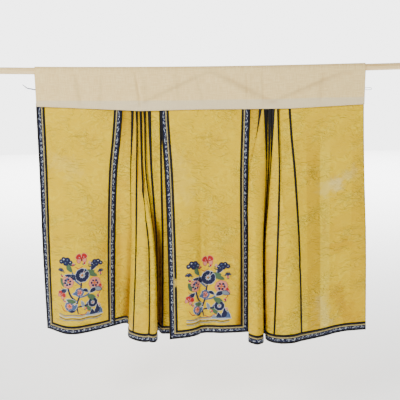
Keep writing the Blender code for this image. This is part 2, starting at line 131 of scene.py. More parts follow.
# silk damask, woven tone on tone and aged: the figure is a little lighter and less glossy than the ground,
# with fine slubs across, so the eye sees a warm yellow with a quiet shine
silkLook = dict(ground="#E2BC08", figure="#EDCB1C", aged="#C99A06", faded="#EBDD8E", lighterTone="#F2D848",
                pleat="#8E5A06", pleatShare=0.86, figureSize=0.052, slubPitch=0.0055,
                smallWrinkle=(46.0, 92.0), largeWrinkle=(17.0, 44.0),
                # ends in metres (x, z), half width, strength, colour
                stains=(((0.425, -0.415), (0.470, -0.392), 0.036, 0.26, "#EFE3A6"),
                        ((0.470, -0.390), (0.528, -0.351), 0.028, 0.22, "#EFE3A6"),
                        ((0.412, -0.800), (0.432, -0.880), 0.034, 0.28, "#EFE3A6"),
                        ((0.470, -0.770), (0.530, -0.880), 0.045, 0.5, "#BC8604"),
                        ((0.455, -0.620), (0.510, -0.600), 0.03, 0.4, "#BC8604"),
                        ((0.430, -0.520), (0.425, -0.560), 0.012, 0.4, "#BC8604"),
                        ((-0.090, -0.300), (-0.060, -0.420), 0.06, 0.1, "#EFDF96"),
                        ((-0.500, -0.300), (-0.440, -0.330), 0.05, 0.12, "#EFDF96")),
                stripes=((0.364, 0.412, 0.5, "#BE9206"), (0.412, 0.447, 0.3, "#F4DA4A"),
                         (0.524, 0.62, 0.35, "#C89808")))


def silkMaterial():
    made, tree, shader = newMaterial("yellowSilkDamask", Roughness=0.45, Specular_IOR_Level=0.3, IOR=1.5)
    shader.inputs["Specular Tint"].default_value = linearColour("#FFE27A")
    vector, s, t = clothPlace(tree)
    # the figure: drifting cloud scrolls, made of rings round scattered middles, bent by a slow noise
    drift = addNode(tree, "ShaderNodeTexNoise", {"Vector": vector, "Scale": 26.0, "Detail": 2.0}).outputs[1]
    bent = addNode(tree, "ShaderNodeVectorMath", {0: drift, 1: (0.034, 0.034, 0.0), 2: vector},
                   operation="MULTIPLY_ADD").outputs[0]
    cell = addNode(tree, "ShaderNodeTexVoronoi", {"Vector": bent, "Scale": 1 / silkLook["figureSize"],
                                                  "Randomness": 0.9}, feature="F1")
    curl = mathNode(tree, "SINE", mathNode(tree, "MULTIPLY", cell.outputs[0], 19.0))
    gate = stepBetween(tree, noiseAt(tree, vector, 17.0), 0.44, 0.6)
    figure = mathNode(tree, "MULTIPLY", stepBetween(tree, curl, 0.1, 0.7), gate)
    colour = blendColours(tree, mathNode(tree, "MULTIPLY", figure, 0.7), linearColour(silkLook["ground"]),
                          linearColour(silkLook["figure"]))
    aged = stepBetween(tree, noiseAt(tree, vector, 6.0, 5.0, 0.62), 0.42, 0.78)
    colour = blendColours(tree, mathNode(tree, "MULTIPLY", aged, 0.6), colour, linearColour(silkLook["aged"]))
    slub = noiseAt(tree, stretched(tree, vector, 60.0, 1 / silkLook["slubPitch"] * 1.8), 1.0, 3.0, 0.6)
    colour = blendColours(tree, mathNode(tree, "MULTIPLY", stepBetween(tree, slub, 0.52, 0.75), 0.16), colour,
                          linearColour(silkLook["faded"]))
    # short level wrinkles with sharp tops, deeper in some places; their tops are painted paler as highlight and
    # their hollows painted darker as shade
    small = noiseAt(tree, stretched(tree, bent, *silkLook["smallWrinkle"]), 1.0, 2.0, 0.5)
    large = noiseAt(tree, stretched(tree, bent, *silkLook["largeWrinkle"]), 1.0, 2.0, 0.5)
    ridges = []
    for ragged, power in ((small, 5.0), (large, 7.0)):
        fold = mathNode(tree, "ABSOLUTE", mathNode(tree, "MULTIPLY_ADD", ragged, 2.0, -1.0))
        ridges.append(mathNode(tree, "POWER", mathNode(tree, "SUBTRACT", 1.0, fold), power))
    deep = stepBetween(tree, noiseAt(tree, vector, 7.0), 0.42, 0.68)
    height = mathNode(tree, "MULTIPLY", ridges[0], deep)
    some = mathNode(tree, "MULTIPLY_ADD", stepBetween(tree, noiseAt(tree, vector, 11.0), 0.4, 0.62), 0.8, 0.12)
    height = mathNode(tree, "MULTIPLY_ADD", ridges[1], some, height)
    # painted highlight: the tops of the wrinkles are made paler
    lighterTone = mathNode(tree, "MULTIPLY", stepBetween(tree, height, 0.4, 1.1), 0.34)
    colour = blendColours(tree, lighterTone, colour, linearColour(silkLook["lighterTone"]))
    # painted shade: the hollows of the wrinkles take the aged colour
    low = mathNode(tree, "MULTIPLY", mathNode(tree, "SUBTRACT", 1.0, stepBetween(tree, height, 0.0, 0.3)), 0.1)
    colour = blendColours(tree, low, colour, linearColour(silkLook["aged"]))
    # stains, and darker and paler vertical stripes, of the right inner panel, by their place on the hanging skirt
    where = addNode(tree, "ShaderNodeTexCoord").outputs["Object"]
    parts = addNode(tree, "ShaderNodeSeparateXYZ", {0: where})
    x, z = parts.outputs[0], parts.outputs[2]
    rough = noiseAt(tree, vector, 45.0, 4.0, 0.6)
    for (x0, z0), (x1, z1), halfWidth, strength, dye in silkLook["stains"]:
        length = math.hypot(x1 - x0, z1 - z0)
        ux, uz = (x1 - x0) / length, (z1 - z0) / length
        fromX, fromZ = mathNode(tree, "SUBTRACT", x, x0), mathNode(tree, "SUBTRACT", z, z0)
        run = mathNode(tree, "MULTIPLY_ADD", fromX, ux, mathNode(tree, "MULTIPLY", fromZ, uz))
        held = mathNode(tree, "MINIMUM", mathNode(tree, "MAXIMUM", run, 0.0), length)
        awayX = mathNode(tree, "MULTIPLY_ADD", held, -ux, fromX)
        awayZ = mathNode(tree, "MULTIPLY_ADD", held, -uz, fromZ)
        away = mathNode(tree, "SQRT", mathNode(tree, "MULTIPLY_ADD", awayX, awayX,
                                               mathNode(tree, "MULTIPLY", awayZ, awayZ)))
        ragged = mathNode(tree, "MULTIPLY_ADD", mathNode(tree, "SUBTRACT", rough, 0.5), 2.6 * halfWidth, away)
        mask = mathNode(tree, "SUBTRACT", 1.0, stepBetween(tree, ragged, 0.1 * halfWidth, halfWidth))
        colour = blendColours(tree, mathNode(tree, "MULTIPLY", mask, strength), colour, linearColour(dye))
    for left, right, strength, dye in silkLook["stripes"]:
        mask = mathNode(tree, "SUBTRACT", stepBetween(tree, x, left - 0.003, left + 0.003),
                        stepBetween(tree, x, right - 0.003, right + 0.003))
        mask = mathNode(tree, "MULTIPLY", mask, stepBetween(tree, z, -0.16, -0.34), clamp=True)
        colour = blendColours(tree, mathNode(tree, "MULTIPLY", mask, strength), colour, linearColour(dye))
    # painted shade: silk deep in the pleats and between packed pleats is darkened toward brown by how deep it lies,
    # standing in for the shadow there
    pleat = addNode(tree, "ShaderNodeSeparateXYZ",
                    {0: addNode(tree, "ShaderNodeUVMap", uv_map="pleat").outputs[0]}).outputs[0]
    shaded = mathNode(tree, "MULTIPLY", pleat, silkLook["pleatShare"])
    colour = blendColours(tree, shaded, colour, linearColour(silkLook["pleat"]))
    tree.links.new(colour, shader.inputs["Base Color"])
    tree.links.new(mathNode(tree, "MULTIPLY_ADD", figure, 0.12, 0.36), shader.inputs["Roughness"])
    height = mathNode(tree, "MULTIPLY_ADD", slub, 0.05, height)
    height = mathNode(tree, "MULTIPLY_ADD", figure, 0.03, height)
    bumpInto(tree, shader, height, 0.0045, 0.9)
    return made


# black silk satin, cut on the bias: near black with a soft blue-brown shine along its rounded edge
def satinMaterial():
    made, tree, shader = newMaterial("blackBiasSatin", Roughness=0.5, Specular_IOR_Level=0.2, IOR=1.5)
    vector, s, t = clothPlace(tree)
    lighterTone = stepBetween(tree, noiseAt(tree, vector, 60.0, 4.0, 0.6), 0.5, 0.8)
    colour = blendColours(tree, mathNode(tree, "MULTIPLY", lighterTone, 0.5), linearColour("#0B0807"),
                          linearColour("#1E1612"))
    # the inner edge of the middle panel has worn through at one place
    where = addNode(tree, "ShaderNodeTexCoord").outputs["Object"]
    away = addNode(tree, "ShaderNodeVectorMath", {0: stretched(tree, where, 1.0, 0.0, 0.8),
                                                  1: (-0.0935, 0.0, -0.585)}, operation="DISTANCE").outputs["Value"]
    gap = mathNode(tree, "SUBTRACT", 1.0, stepBetween(tree, away, 0.008, 0.014))
    frayed = mathNode(tree, "MULTIPLY", gap, stepBetween(tree, noiseAt(tree, vector, 180.0), 0.3, 0.5))
    colour = blendColours(tree, frayed, colour, linearColour("#CFAE3A"))
    tree.links.new(colour, shader.inputs["Base Color"])
    twill = mathNode(tree, "SINE", mathNode(tree, "MULTIPLY", mathNode(tree, "ADD", s, t), 2600.0))
    bumpInto(tree, shader, twill, 0.0001, 0.5)
    return made


# woven silk ribbon in navy with pale scrolls; the scroll repeats every 42 mm, threads drawn at 0.8 mm
# because real ones at 0.2 mm can't show
ribbonLook = dict(ground="#0B1033", scroll="#C9D2DC", line="#39435F", repeat=0.042, width=0.011)


def ribbonMaterial():
    made, tree, shader = newMaterial("navyWovenRibbon", Roughness=0.6, Specular_IOR_Level=0.25)
    vector, a, b = clothPlace(tree)
    across = mathNode(tree, "SUBTRACT", mathNode(tree, "DIVIDE", b, ribbonLook["width"]), 0.5)
    along = mathNode(tree, "MULTIPLY", a, 2 * math.pi / ribbonLook["repeat"])
    vine = mathNode(tree, "MULTIPLY", mathNode(tree, "SINE", along), 0.24)
    stem = mathNode(tree, "ABSOLUTE", mathNode(tree, "SUBTRACT", across, vine))
    stemMask = mathNode(tree, "SUBTRACT", 1.0, stepBetween(tree, stem, 0.05, 0.1))
    # one leaf lies in each bend of the stem, on alternate sides
    leafAlong = mathNode(tree, "POWER", mathNode(tree, "ABSOLUTE", mathNode(tree, "SINE", along)), 3.0)
    vineSway = mathNode(tree, "MULTIPLY", vine, 0.8)
    leafAcross = mathNode(tree, "ABSOLUTE", mathNode(tree, "ADD", across, vineSway))
    leaf = mathNode(tree, "SUBTRACT", mathNode(tree, "MULTIPLY", leafAlong, 0.3), leafAcross)
    leafMask = stepBetween(tree, leaf, 0.1, 0.15)
    broken = stepBetween(tree, noiseAt(tree, vector, 150.0, 2.0, 0.6), 0.46, 0.55)
    pale = mathNode(tree, "MULTIPLY", mathNode(tree, "MAXIMUM", stemMask, leafMask), broken)
    edge = stepBetween(tree, mathNode(tree, "ABSOLUTE", across), 0.4, 0.44)
    colour = blendColours(tree, mathNode(tree, "MULTIPLY", edge, 0.5), linearColour(ribbonLook["ground"]),
                          linearColour(ribbonLook["line"]))
    colour = blendColours(tree, pale, colour, linearColour(ribbonLook["scroll"]))
    tree.links.new(colour, shader.inputs["Base Color"])
    thread = mathNode(tree, "SINE", mathNode(tree, "MULTIPLY", a, 2 * math.pi / 0.0008))
    bumpInto(tree, shader, mathNode(tree, "MULTIPLY_ADD", pale, 1.5, thread), 0.00015, 0.6)
    return made


# flat braid of pale gilt thread: a dull straw colour with small bright flecks
def braidMaterial():
    made, tree, shader = newMaterial("paleGiltBraid", Roughness=0.45, Metallic=0.15, IOR=1.5)
    vector, a, b = clothPlace(tree)
    fleck = noiseAt(tree, vector, 420.0, 2.0, 0.6)
    colour = blendColours(tree, stepBetween(tree, fleck, 0.4, 0.65), linearColour("#8A7736"),
                          linearColour("#CDBB78"))
    tree.links.new(colour, shader.inputs["Base Color"])
    plait = mathNode(tree, "SINE", mathNode(tree, "MULTIPLY", mathNode(tree, "ADD", a, b), 2 * math.pi / 0.002))
    bumpInto(tree, shader, plait, 0.0002, 0.7)
    return made


# hand-woven cotton, undyed and slubby: a matt cream with long uneven threads both ways
cottonLook = dict(cream="#FFE29C", slub="#F0CE88", edge="#DCD2B4", shadePaintedCrease="#B99A62", threadPitch=0.0024)


def cottonMaterial():
    made, tree, shader = newMaterial("undyedSlubCotton", Roughness=0.9, Specular_IOR_Level=0.2)
    vector, s, t = clothPlace(tree)
    pitchPart = 1 / cottonLook["threadPitch"]
    acrossThreads = noiseAt(tree, stretched(tree, vector, 26.0, pitchPart), 1.0, 3.0, 0.6)
    downThreads = noiseAt(tree, stretched(tree, vector, pitchPart, 30.0), 1.0, 3.0, 0.6)
    both = mathNode(tree, "MULTIPLY", mathNode(tree, "ADD", acrossThreads, downThreads), 0.5)
    colour = blendColours(tree, stepBetween(tree, both, 0.42, 0.6), linearColour(cottonLook["slub"]),
                          linearColour(cottonLook["cream"]))
    stain = stepBetween(tree, noiseAt(tree, vector, 7.0, 4.0, 0.6), 0.55, 0.85)
    colour = blendColours(tree, mathNode(tree, "MULTIPLY", stain, 0.3), colour, linearColour("#C9AE78"))
    lowEdge = stepBetween(tree, t, 0.118, 0.124)
    colour = blendColours(tree, mathNode(tree, "MULTIPLY", lowEdge, 0.55), colour,
                          linearColour(cottonLook["edge"]))
    # painted shade: the hollows of the creases are darkened toward a brown cream
    shadePaintedCrease = addNode(tree, "ShaderNodeSeparateXYZ",
                     {0: addNode(tree, "ShaderNodeUVMap", uv_map="pleat").outputs[0]}).outputs[0]
    colour = blendColours(tree, mathNode(tree, "MULTIPLY", shadePaintedCrease, 0.5), colour,
                          linearColour(cottonLook["shadePaintedCrease"]))
    tree.links.new(colour, shader.inputs["Base Color"])
    bumpInto(tree, shader, both, 0.0009, 0.8)
    return made


# pine dowel, sanded and bare: cream with long faint grain
def pineMaterial():
    made, tree, shader = newMaterial("sandedPine", Roughness=0.6)
    where = addNode(tree, "ShaderNodeTexCoord").outputs["Object"]
    grain = noiseAt(tree, stretched(tree, where, 3.0, 140.0, 140.0), 1.0, 4.0, 0.6)
    colour = blendColours(tree, stepBetween(tree, grain, 0.4, 0.7), linearColour("#FFE2A6"),
                          linearColour("#E6BE74"))
    tree.links.new(colour, shader.inputs["Base Color"])
    bumpInto(tree, shader, grain, 0.0003, 0.4)
    return made


# twisted cotton cord, faded blue
def cordMaterial(name, dark, light):
    made, tree, shader = newMaterial(name, Roughness=0.85)
    where = addNode(tree, "ShaderNodeTexCoord").outputs["Object"]
    parts = addNode(tree, "ShaderNodeSeparateXYZ", {0: where})
    slant = mathNode(tree, "ADD", parts.outputs[0], mathNode(tree, "MULTIPLY", parts.outputs[2], 0.8))
    ply = mathNode(tree, "SINE", mathNode(tree, "MULTIPLY", slant, 2 * math.pi / 0.0022))
    colour = blendColours(tree, stepBetween(tree, ply, -0.6, 0.6), linearColour(dark), linearColour(light))
    tree.links.new(colour, shader.inputs["Base Color"])
    bumpInto(tree, shader, ply, 0.0004, 0.8)
    return made


# silk floss in satin stitch: each shape has its own dyed colour, with fine raised threads and a soft shine
def flossMaterial():
    made, tree, shader = newMaterial("silkFloss", Roughness=0.45, Specular_IOR_Level=0.3, IOR=1.5)
    dyed = addNode(tree, "ShaderNodeVertexColor", layer_name="floss").outputs[0]
    vector, a, b = clothPlace(tree)
    thread = mathNode(tree, "SINE", mathNode(tree, "MULTIPLY", a, 2 * math.pi / 0.0009))
    shade = stepBetween(tree, noiseAt(tree, vector, 260.0, 2.0, 0.6), 0.3, 0.7)
    colour = blendColours(tree, mathNode(tree, "MULTIPLY", shade, 0.25), dyed, (0.0, 0.0, 0.0, 1.0))
    tree.links.new(colour, shader.inputs["Base Color"])
    bumpInto(tree, shader, thread, 0.00015, 0.7)
    return made


silk = silkMaterial()
satin = satinMaterial()
ribbon = ribbonMaterial()
braid = braidMaterial()
cotton = cottonMaterial()
pine = pineMaterial()
floss = flossMaterial()
print("materials made")

# the two halves of the skirt: name, waist x and forward, upper, middle, hem x, forward and z, in millimetres
skirtCut = dict(wall=1.3, trimLift=0.3, trimWall=1.0, pipingHalf=3.2, tuckedTop=12.0,
                upperZ=-330.0, middleZ=-580.0, panelSteps=15, knifeRoom=2.2,
                bandEdges=(0.0, 6.5, 17.5, 22.0, 30.0),
                rowParts=(0.0, 0.035, 0.13, 0.26, 0.41, 0.57, 0.77),
                lowerEdge=((-561, -114.6), (-442, -120.7), (-282, -129.3), (-203, -133.6), (0, -130.6),
                           (135, -131.3), (306, -130.9), (561, -119.2)))

leftHalf = dict(
    word="left", panelName="leftPanel", panelNode="left_panel",
    # half widths of the pipings at the waist, 60 and 190 mm down, before and after the seam
    pipings={1: ((7.5, 7.5, 6.5), (4.0, 5.0, 5.0)), 2: ((6.0, 3.2, 3.0), (3.2, 3.2, 3.2)),
             3: ((7.0, 5.5, 4.4), (3.2, 3.2, 3.4)), 4: ((7.0, 4.0, 3.4), (3.2, 3.2, 3.4)),
             5: ((7.0, 6.0, 4.0), (5.0, 4.2, 3.4)), 6: ((3.8, 3.8, 3.8), (3.8, 3.8, 3.8))},
    goreSteps=(6, 7, 6, 6, 6, 6), wideSeams=(),
    knives={2: ((7.0, 1.5), (-1.5, 1.8)), 3: ((7.0, 1.5), (3.0, 2.2)), 4: ((7.0, 1.5), (4.0, 2.2))},
    headings={2: (-143, -143, -105, -60, -20), 3: (-143, -143, -125, -105, -65),
              4: (-143, -143, -130, -115, -104)},
    extraFold=None,
    stations=(
        ("edge", -563, 0.0, -562, 0, -566, -10, -568, -32, -917),
        ("bulge", -451, 1.6, -456, 8, -462, 13, -471, 18, -925),
        ("wane", -362, 1.6, -370, 3, -380, -6, -393, -22, -926),
        ("seam 0", -266, 1.6, -291, -12, -310, -40, -325, -70, -924),
        ("dip", -254, 0.6, -274, -11, -293, -50, -307, -80, -922),
        ("dip", -242, -0.8, -258, -8, -270, -46, -285, -84, -920),
        ("seam 1", -230, -2.0, -240, -3, -247, -16, -267, -46, -926),
        ("fold", -228, 0.8, -242, 4, -248, 6, -268, 14, -934),
        ("fold", -224, 3.2, -237, 12, -239, 20, -259, 36, -935),
        ("seam 2", -217, 2.0, -223, 15, -229, 30, -248, 50, -934),
        ("lobe", None, None, None, None, -215, 38, -231, 60, -936),
        ("lobe", None, None, None, None, -201, 42, -210, 70, -936),
        ("seam 3", -203, 2.0, -203, 18, -187, 45, -190, 80, -933),
        ("lobe", None, None, None, None, -177, 47, -175, 85, -934),
        ("fold", None, None, None, None, -169, 34, -164, 66, -934),
        ("seam 4", -190, 2.0, -191, 15, -169, 5, -164, 15, -934),
        ("under", None, None, None, None, -170, -10, -168, -14, -934),
        ("under", None, None, None, None, -170, -24, -174, -34, -934),
        ("seam 5", -174, 2.0, -172, 8, -163, -32, -170, -46, -933),
        ("step", -166, -1.0, -162, 3, -155, -31, -162, -38, -934),
        ("step", -154, -1.8, -151, -3, -147, -20, -155, -20, -935),
        ("seam 6", -138, -1.8, -139, -5, -139, -9, -147, -6, -935),
        ("inner", -60, -1.8, -60, -5, -62, -12, -66, -4, -934),
        ("inner", 40, -1.8, 40, -7, 38, -14, 36, -16, -932),
        ("free edge", 150, -1.8, 148, -8, 146, -16, 142, -20, -930),
    ))

rightHalf = dict(
    word="right", panelName="middlePanel", panelNode="middle_panel",
    pipings={1: ((6.5, 5.0, 3.4), (6.5, 4.0, 3.4)), 2: ((8.0, 7.0, 3.6), (8.5, 7.5, 3.6)),
             3: ((7.0, 6.0, 3.6), (6.5, 6.0, 3.6)), 4: ((6.0, 5.5, 3.6), (6.5, 5.5, 3.6)),
             5: ((4.8, 4.2, 4.0), (3.2, 3.2, 3.8)), 6: ((4.2, 4.0, 4.0), (4.2, 4.0, 4.0))},
    goreSteps=(6, 9, 6, 6, 7, 8), wideSeams=(2, 3, 4),
    knives={5: ((7.0, 1.5), (-1.0, 2.0))},
    headings={5: (-143, -143, -120, -75, -25)},
    extraFold=(1, ("fold", 216, 3.4, 219, 20, 207, 62, 204, 122, -926)),
    stations=(
        ("edge", -139, 1.6, -128, 8, -121, 30, -118, 55, -934),
        ("fold", -15, 1.6, -16, 7, -21, 24, -28, 40, -928),
        ("fold", 9, 1.6, 7, 3, 2, 5, -5, 6, -930),
        ("flat", 84, 1.6, 83, 3, 78, 4, 72, 5, -931),
        ("seam 0", 171, 1.6, 165, 0, 165, 0, 166, 0, -929),
        ("plain", 182, 0.8, 169, 1, 166, 12, 167, 32, -929),
        ("plain", 194, -0.2, 174, 3, 166, 28, 164, 66, -928),
        ("seam 1", 207, -1.0, 180, 6, 164, 44, 161, 98, -927),
        ("fold", 211, 1.2, 168, 18, 161, 62, 157, 120, -921),
        ("lobe", 213, 2.6, 192, 27, 183, 78, 180, 145, -922),
        ("seam 2", 223, 1.0, 226, 6, 212, 32, 209, 74, -926),
        ("under", 228, 0.0, 229, 0, 212, 18, 209, 42, -930),
        ("under", 233, -1.0, 231, -7, 214, 0, 211, 10, -933),
        ("seam 3", 238, -1.4, 236, -11, 220, -9, 217, 0, -935),
        ("under", 242, -1.2, 240, -8, 226, 0, 223, 10, -934),
        ("under", 246, -0.6, 241, -3, 227, 12, 224, 32, -933),
        ("seam 4", 250, 0.2, 242, 3, 225, 26, 221, 54, -931),
        ("fold", 254, 2.0, 245, 10, 223, 46, 221, 88, -926),
        ("fold", 258, 3.2, 254, 17, 238, 60, 230, 104, -927),
        ("seam 5", 266, 2.0, 270, 19, 261, 67, 245, 113, -929),
        ("bulge", None, None, None, None, 285, 78, 272, 140, -922),
        ("bulge", None, None, None, None, 312, 74, 306, 138, -921),
        ("seam 6", 305, 0.6, 322, 14, 334, 58, 339, 113, -923),
        ("inner", 410, 0.0, 419, 6, 422, 30, 423, 60, -927),
        ("inner", 479, 0.0, 489, 2, 492, 14, 490, 25, -924),
        ("free edge", 560, 0.0, 567, 0, 579, 2, 586, 8, -922),
    ))


def valueAt(table, x):
    return float(np.interp(x, [row[0] for row in table], [row[1] for row in table]))


def smoothThrough(knots, values, at):
    knots = np.asarray(knots, float)
    values = np.asarray(values, float)
    steps = np.diff(knots)
    chords = np.diff(values, axis=0) / steps[:, None]
    slopes = np.empty_like(values)
    slopes[0], slopes[-1] = chords[0], chords[-1]
    weight = steps[:-1, None] / (steps[:-1, None] + steps[1:, None])
    slopes[1:-1] = chords[:-1] * (1 - weight) + chords[1:] * weight
    i = np.clip(np.searchsorted(knots, at, side="right") - 1, 0, len(knots) - 2)
    h = steps[i][:, None]
    p = ((np.asarray(at) - knots[i]) / steps[i])[:, None]
    return (values[i] * (1 + 2 * p) * (1 - p) ** 2 + values[i + 1] * p * p * (3 - 2 * p)
            + slopes[i] * h * p * (1 - p) ** 2 - slopes[i + 1] * h * p * p * (1 - p))


def pointsAlong(points, distances):
    points = np.asarray(points, float)
    chord = np.linalg.norm(np.diff(points[:, :2], axis=0), axis=1)
    knots = np.concatenate([[0.0], np.cumsum(np.maximum(chord, 1e-6))])
    fine = smoothThrough(knots, points, np.linspace(0.0, knots[-1], 161))
    run = np.concatenate([[0.0], np.cumsum(np.linalg.norm(np.diff(fine[:, :2], axis=0), axis=1))])
    wanted = distances(run[-1])
    return np.stack([np.interp(wanted, run, fine[:, k]) for k in range(3)], axis=1)


def panelDistances(length):
    edges = skirtCut["bandEdges"]
    inner = list(np.linspace(edges[-1], length - edges[-1], 8))
    return list(edges[:-1]) + inner + [length - e for e in reversed(edges[:-1])]


def innerDistances(length):
    return [0.0, skirtCut["pipingHalf"]] + list(length * np.linspace(0.14, 1.0, 7))


def seamColumns(half):
    return [skirtCut["panelSteps"] + int(n) for n in np.concatenate([[0], np.cumsum(half["goreSteps"])])]


def levelPoints(rows, level):
    heights = (None, skirtCut["upperZ"], skirtCut["middleZ"], None)
    out = []
    for row in rows:
        x, forward = row[1 + 2 * level], row[2 + 2 * level]
        if x is None:
            continue
        z = heights[level]
        if level == 0:
            z = valueAt(skirtCut["lowerEdge"], x) + skirtCut["tuckedTop"]
        if level == 3:
            z = row[9]
        out.append((x, forward, z))
    return out


# a gore that turns under its first seam, as a knife pleat does
def knifeColumns(start, end, turn, arrives, steps):
    x0, f0, z0 = start
    x1, f1, z1 = end
    under, radius = turn
    tip, bend = x0 - under, 1.33 * radius
    room = skirtCut["knifeRoom"]
    columns = [(x0, f0), (x0 - bend, f0 - radius), (tip + bend, f0 - radius - 0.8),
               (tip, f0 - 2 * radius - room), (tip + bend, f0 - 3 * radius - 1.4 * room)]
    last = (x1 - bend, f1 + radius) if arrives else (x1 - skirtCut["pipingHalf"], f1 + 0.2)
    for i in range(steps - 6):
        part = (i + 1) / (steps - 5)
        columns.append(tuple(np.array(columns[4]) * (1 - part) + np.array(last) * part))
    columns += [last, (x1, f1)]
    return [(x, f, z) for (x, f), z in zip(columns, np.linspace(z0, z1, steps + 1))]


def halfLevel(half, level):
    stations, knives = half["stations"], half["knives"]
    seams = [i for i, row in enumerate(stations) if row[0].startswith("seam")]
    columns = list(pointsAlong(levelPoints(stations[:seams[0] + 1], level), panelDistances))
    plainPiping = (3.2, 3.2, 3.2, 3.2)
    widePiping = (5.0, 3.4, 3.2, 3.2)
    for k, steps in enumerate(half["goreSteps"]):
        points = levelPoints(stations[seams[k]:seams[k + 1] + 1], level)
        if half["extraFold"] and half["extraFold"][0] == k:
            points = points[:-1] + levelPoints([half["extraFold"][1]], level) + points[-1:]
        before = (widePiping if k in half["wideSeams"] else plainPiping)[level]
        after = (widePiping if k + 1 in half["wideSeams"] else plainPiping)[level]
        arrives = k + 1 in knives and level < 2
        if k in knives and level < 2:
            made = knifeColumns(points[0], points[-1], knives[k][level], arrives, steps)
        else:
            made = [tuple(p) for p in pointsAlong(points, lambda run: (
                [0.0] + list(np.linspace(before, run - after, steps - 1)) + [run]))]
            if arrives:
                radius = knives[k + 1][level][1]
                x1, f1, z1 = points[-1]
                made[-2] = (x1 - 1.33 * radius, f1 + radius, z1)
        columns += [np.array(p) for p in made[1:]]
    columns += list(pointsAlong(levelPoints(stations[seams[6]:], level), innerDistances))[1:]
    return np.array(columns)


# the half's middle surface at the solids' own rows and columns
def coarseGrid(half):
    levels = [halfLevel(half, level) for level in range(4)]
    rowParts, edges = skirtCut["rowParts"], skirtCut["bandEdges"]
    grid = np.empty((len(rowParts) + len(edges), levels[0].shape[0], 3))
    for c in range(grid.shape[1]):
        top, hem = levels[0][c], levels[3][c]
        tall = top[2] - hem[2]
        upper, middle = (top[2] - skirtCut["upperZ"]) / tall, (top[2] - skirtCut["middleZ"]) / tall
        share = 0.03 / upper
        shapes = [top, top * (1 - share) + levels[1][c] * share, levels[1][c], levels[2][c], hem]
        parts = np.array(list(rowParts) + [1 - e / tall for e in reversed(edges)])
        column = smoothThrough([0.0, 0.05, upper, middle, 1.0], shapes, parts)
        column[:, 2] = top[2] + (hem[2] - top[2]) * parts
        grid[:, c] = column
    seams = seamColumns(half)
    for k, headings in half["headings"].items():
        seam = seams[k]
        for row, heading in enumerate(headings):
            angle = math.radians(heading)
            leg = np.array((math.cos(angle), math.sin(angle))) * skirtCut["pipingHalf"]
            grid[row, seam + 1, :2] = grid[row, seam, :2] + leg
            grid[row, seam + 2, :2] = (grid[row, seam + 1, :2] + grid[row, seam + 3, :2]) / 2
    for seam in seams[1:]:
        for beside in (seam - 1, seam + 1):
            leg = grid[:, beside, :2] - grid[:, seam, :2]
            length = np.linalg.norm(leg, axis=1, keepdims=True)
            grid[:, beside, :2] = grid[:, seam, :2] + leg * np.maximum(1.0, skirtCut["pipingHalf"] / length)
    return grid


# adds smooth columns between the solids' ones: pieces[i] steps in interval i
def refined(grid, pieces):
    chords = np.diff(grid, axis=1)
    lengths = np.linalg.norm(chords, axis=2, keepdims=True)
    chords = chords / lengths
    slopes = np.empty_like(grid)
    slopes[:, 0], slopes[:, -1] = chords[:, 0], chords[:, -1]
    slopes[:, 1:-1] = ((chords[:, :-1] * lengths[:, 1:] + chords[:, 1:] * lengths[:, :-1])
                       / (lengths[:, 1:] + lengths[:, :-1]))
    columns = []
    for i, count in enumerate(pieces):
        a, b, h = grid[:, i], grid[:, i + 1], lengths[:, i]
        for j in range(count):
            p = j / count
            columns.append(a * (1 + 2 * p) * (1 - p) ** 2 + b * p * p * (3 - 2 * p)
                           + slopes[:, i] * h * p * (1 - p) ** 2 - slopes[:, i + 1] * h * p * p * (1 - p))
    columns.append(grid[:, -1])
    return np.stack(columns, axis=1)


def outwardNormals(grid):
    across = np.empty_like(grid)
    unit = np.diff(grid, axis=1)
    unit = unit / np.linalg.norm(unit, axis=2, keepdims=True)
    across[:, 0], across[:, -1] = unit[:, 0], unit[:, -1]
    across[:, 1:-1] = unit[:, :-1] + unit[:, 1:]
    across /= np.linalg.norm(across, axis=2, keepdims=True)
    down = np.gradient(grid, axis=0)
    down /= np.linalg.norm(down, axis=2, keepdims=True)
    normal = np.cross(across, down)
    return normal / np.linalg.norm(normal, axis=2, keepdims=True)


# soft troughs and ridges, listed: place on the cloth in mm, length down and across, height
hangLook = dict(
    seed=11,
    leftSoft=((60, 240, 150, 30, 2.4), (150, 420, 260, 42, -3.0), (215, 300, 240, 22, 2.6),
              (110, 640, 200, 26, 2.4), (238, 620, 220, 14, -2.2), (84, 480, 260, 12, 1.8)),
    rightSoft=((55, 300, 260, 26, 2.2), (92, 560, 260, 14, -2.4), (137, 560, 330, 9, 2.8),
               (152, 480, 300, 12, -1.8), (215, 480, 300, 30, -2.4), (262, 660, 180, 18, 2.0)),
    innerSoft=((60, 300, 300, 26, 2.2), (120, 420, 330, 30, -3.0), (165, 520, 300, 22, 2.2),
               (215, 360, 260, 26, 1.4)),
    # valleys along a seam: seam, offset, from depth, to depth, half width, height
    leftValleys=((3, 0, 260, 1000, 8, -8.5), (3, -16, 300, 1000, 12, 2.0), (3, 16, 300, 1000, 10, 3.0)),
    rightValleys=((1, 0, 240, 900, 8, -1.5),),
    # shade between packed pleats: first seam, last seam, depth where it ends, strength
    leftShade=((1, 5, 230, 0.95), (5, 6, 420, 0.35)),
    rightShade=((1, 4, 190, 0.75),),
    ripple=1.9, ripples=120)


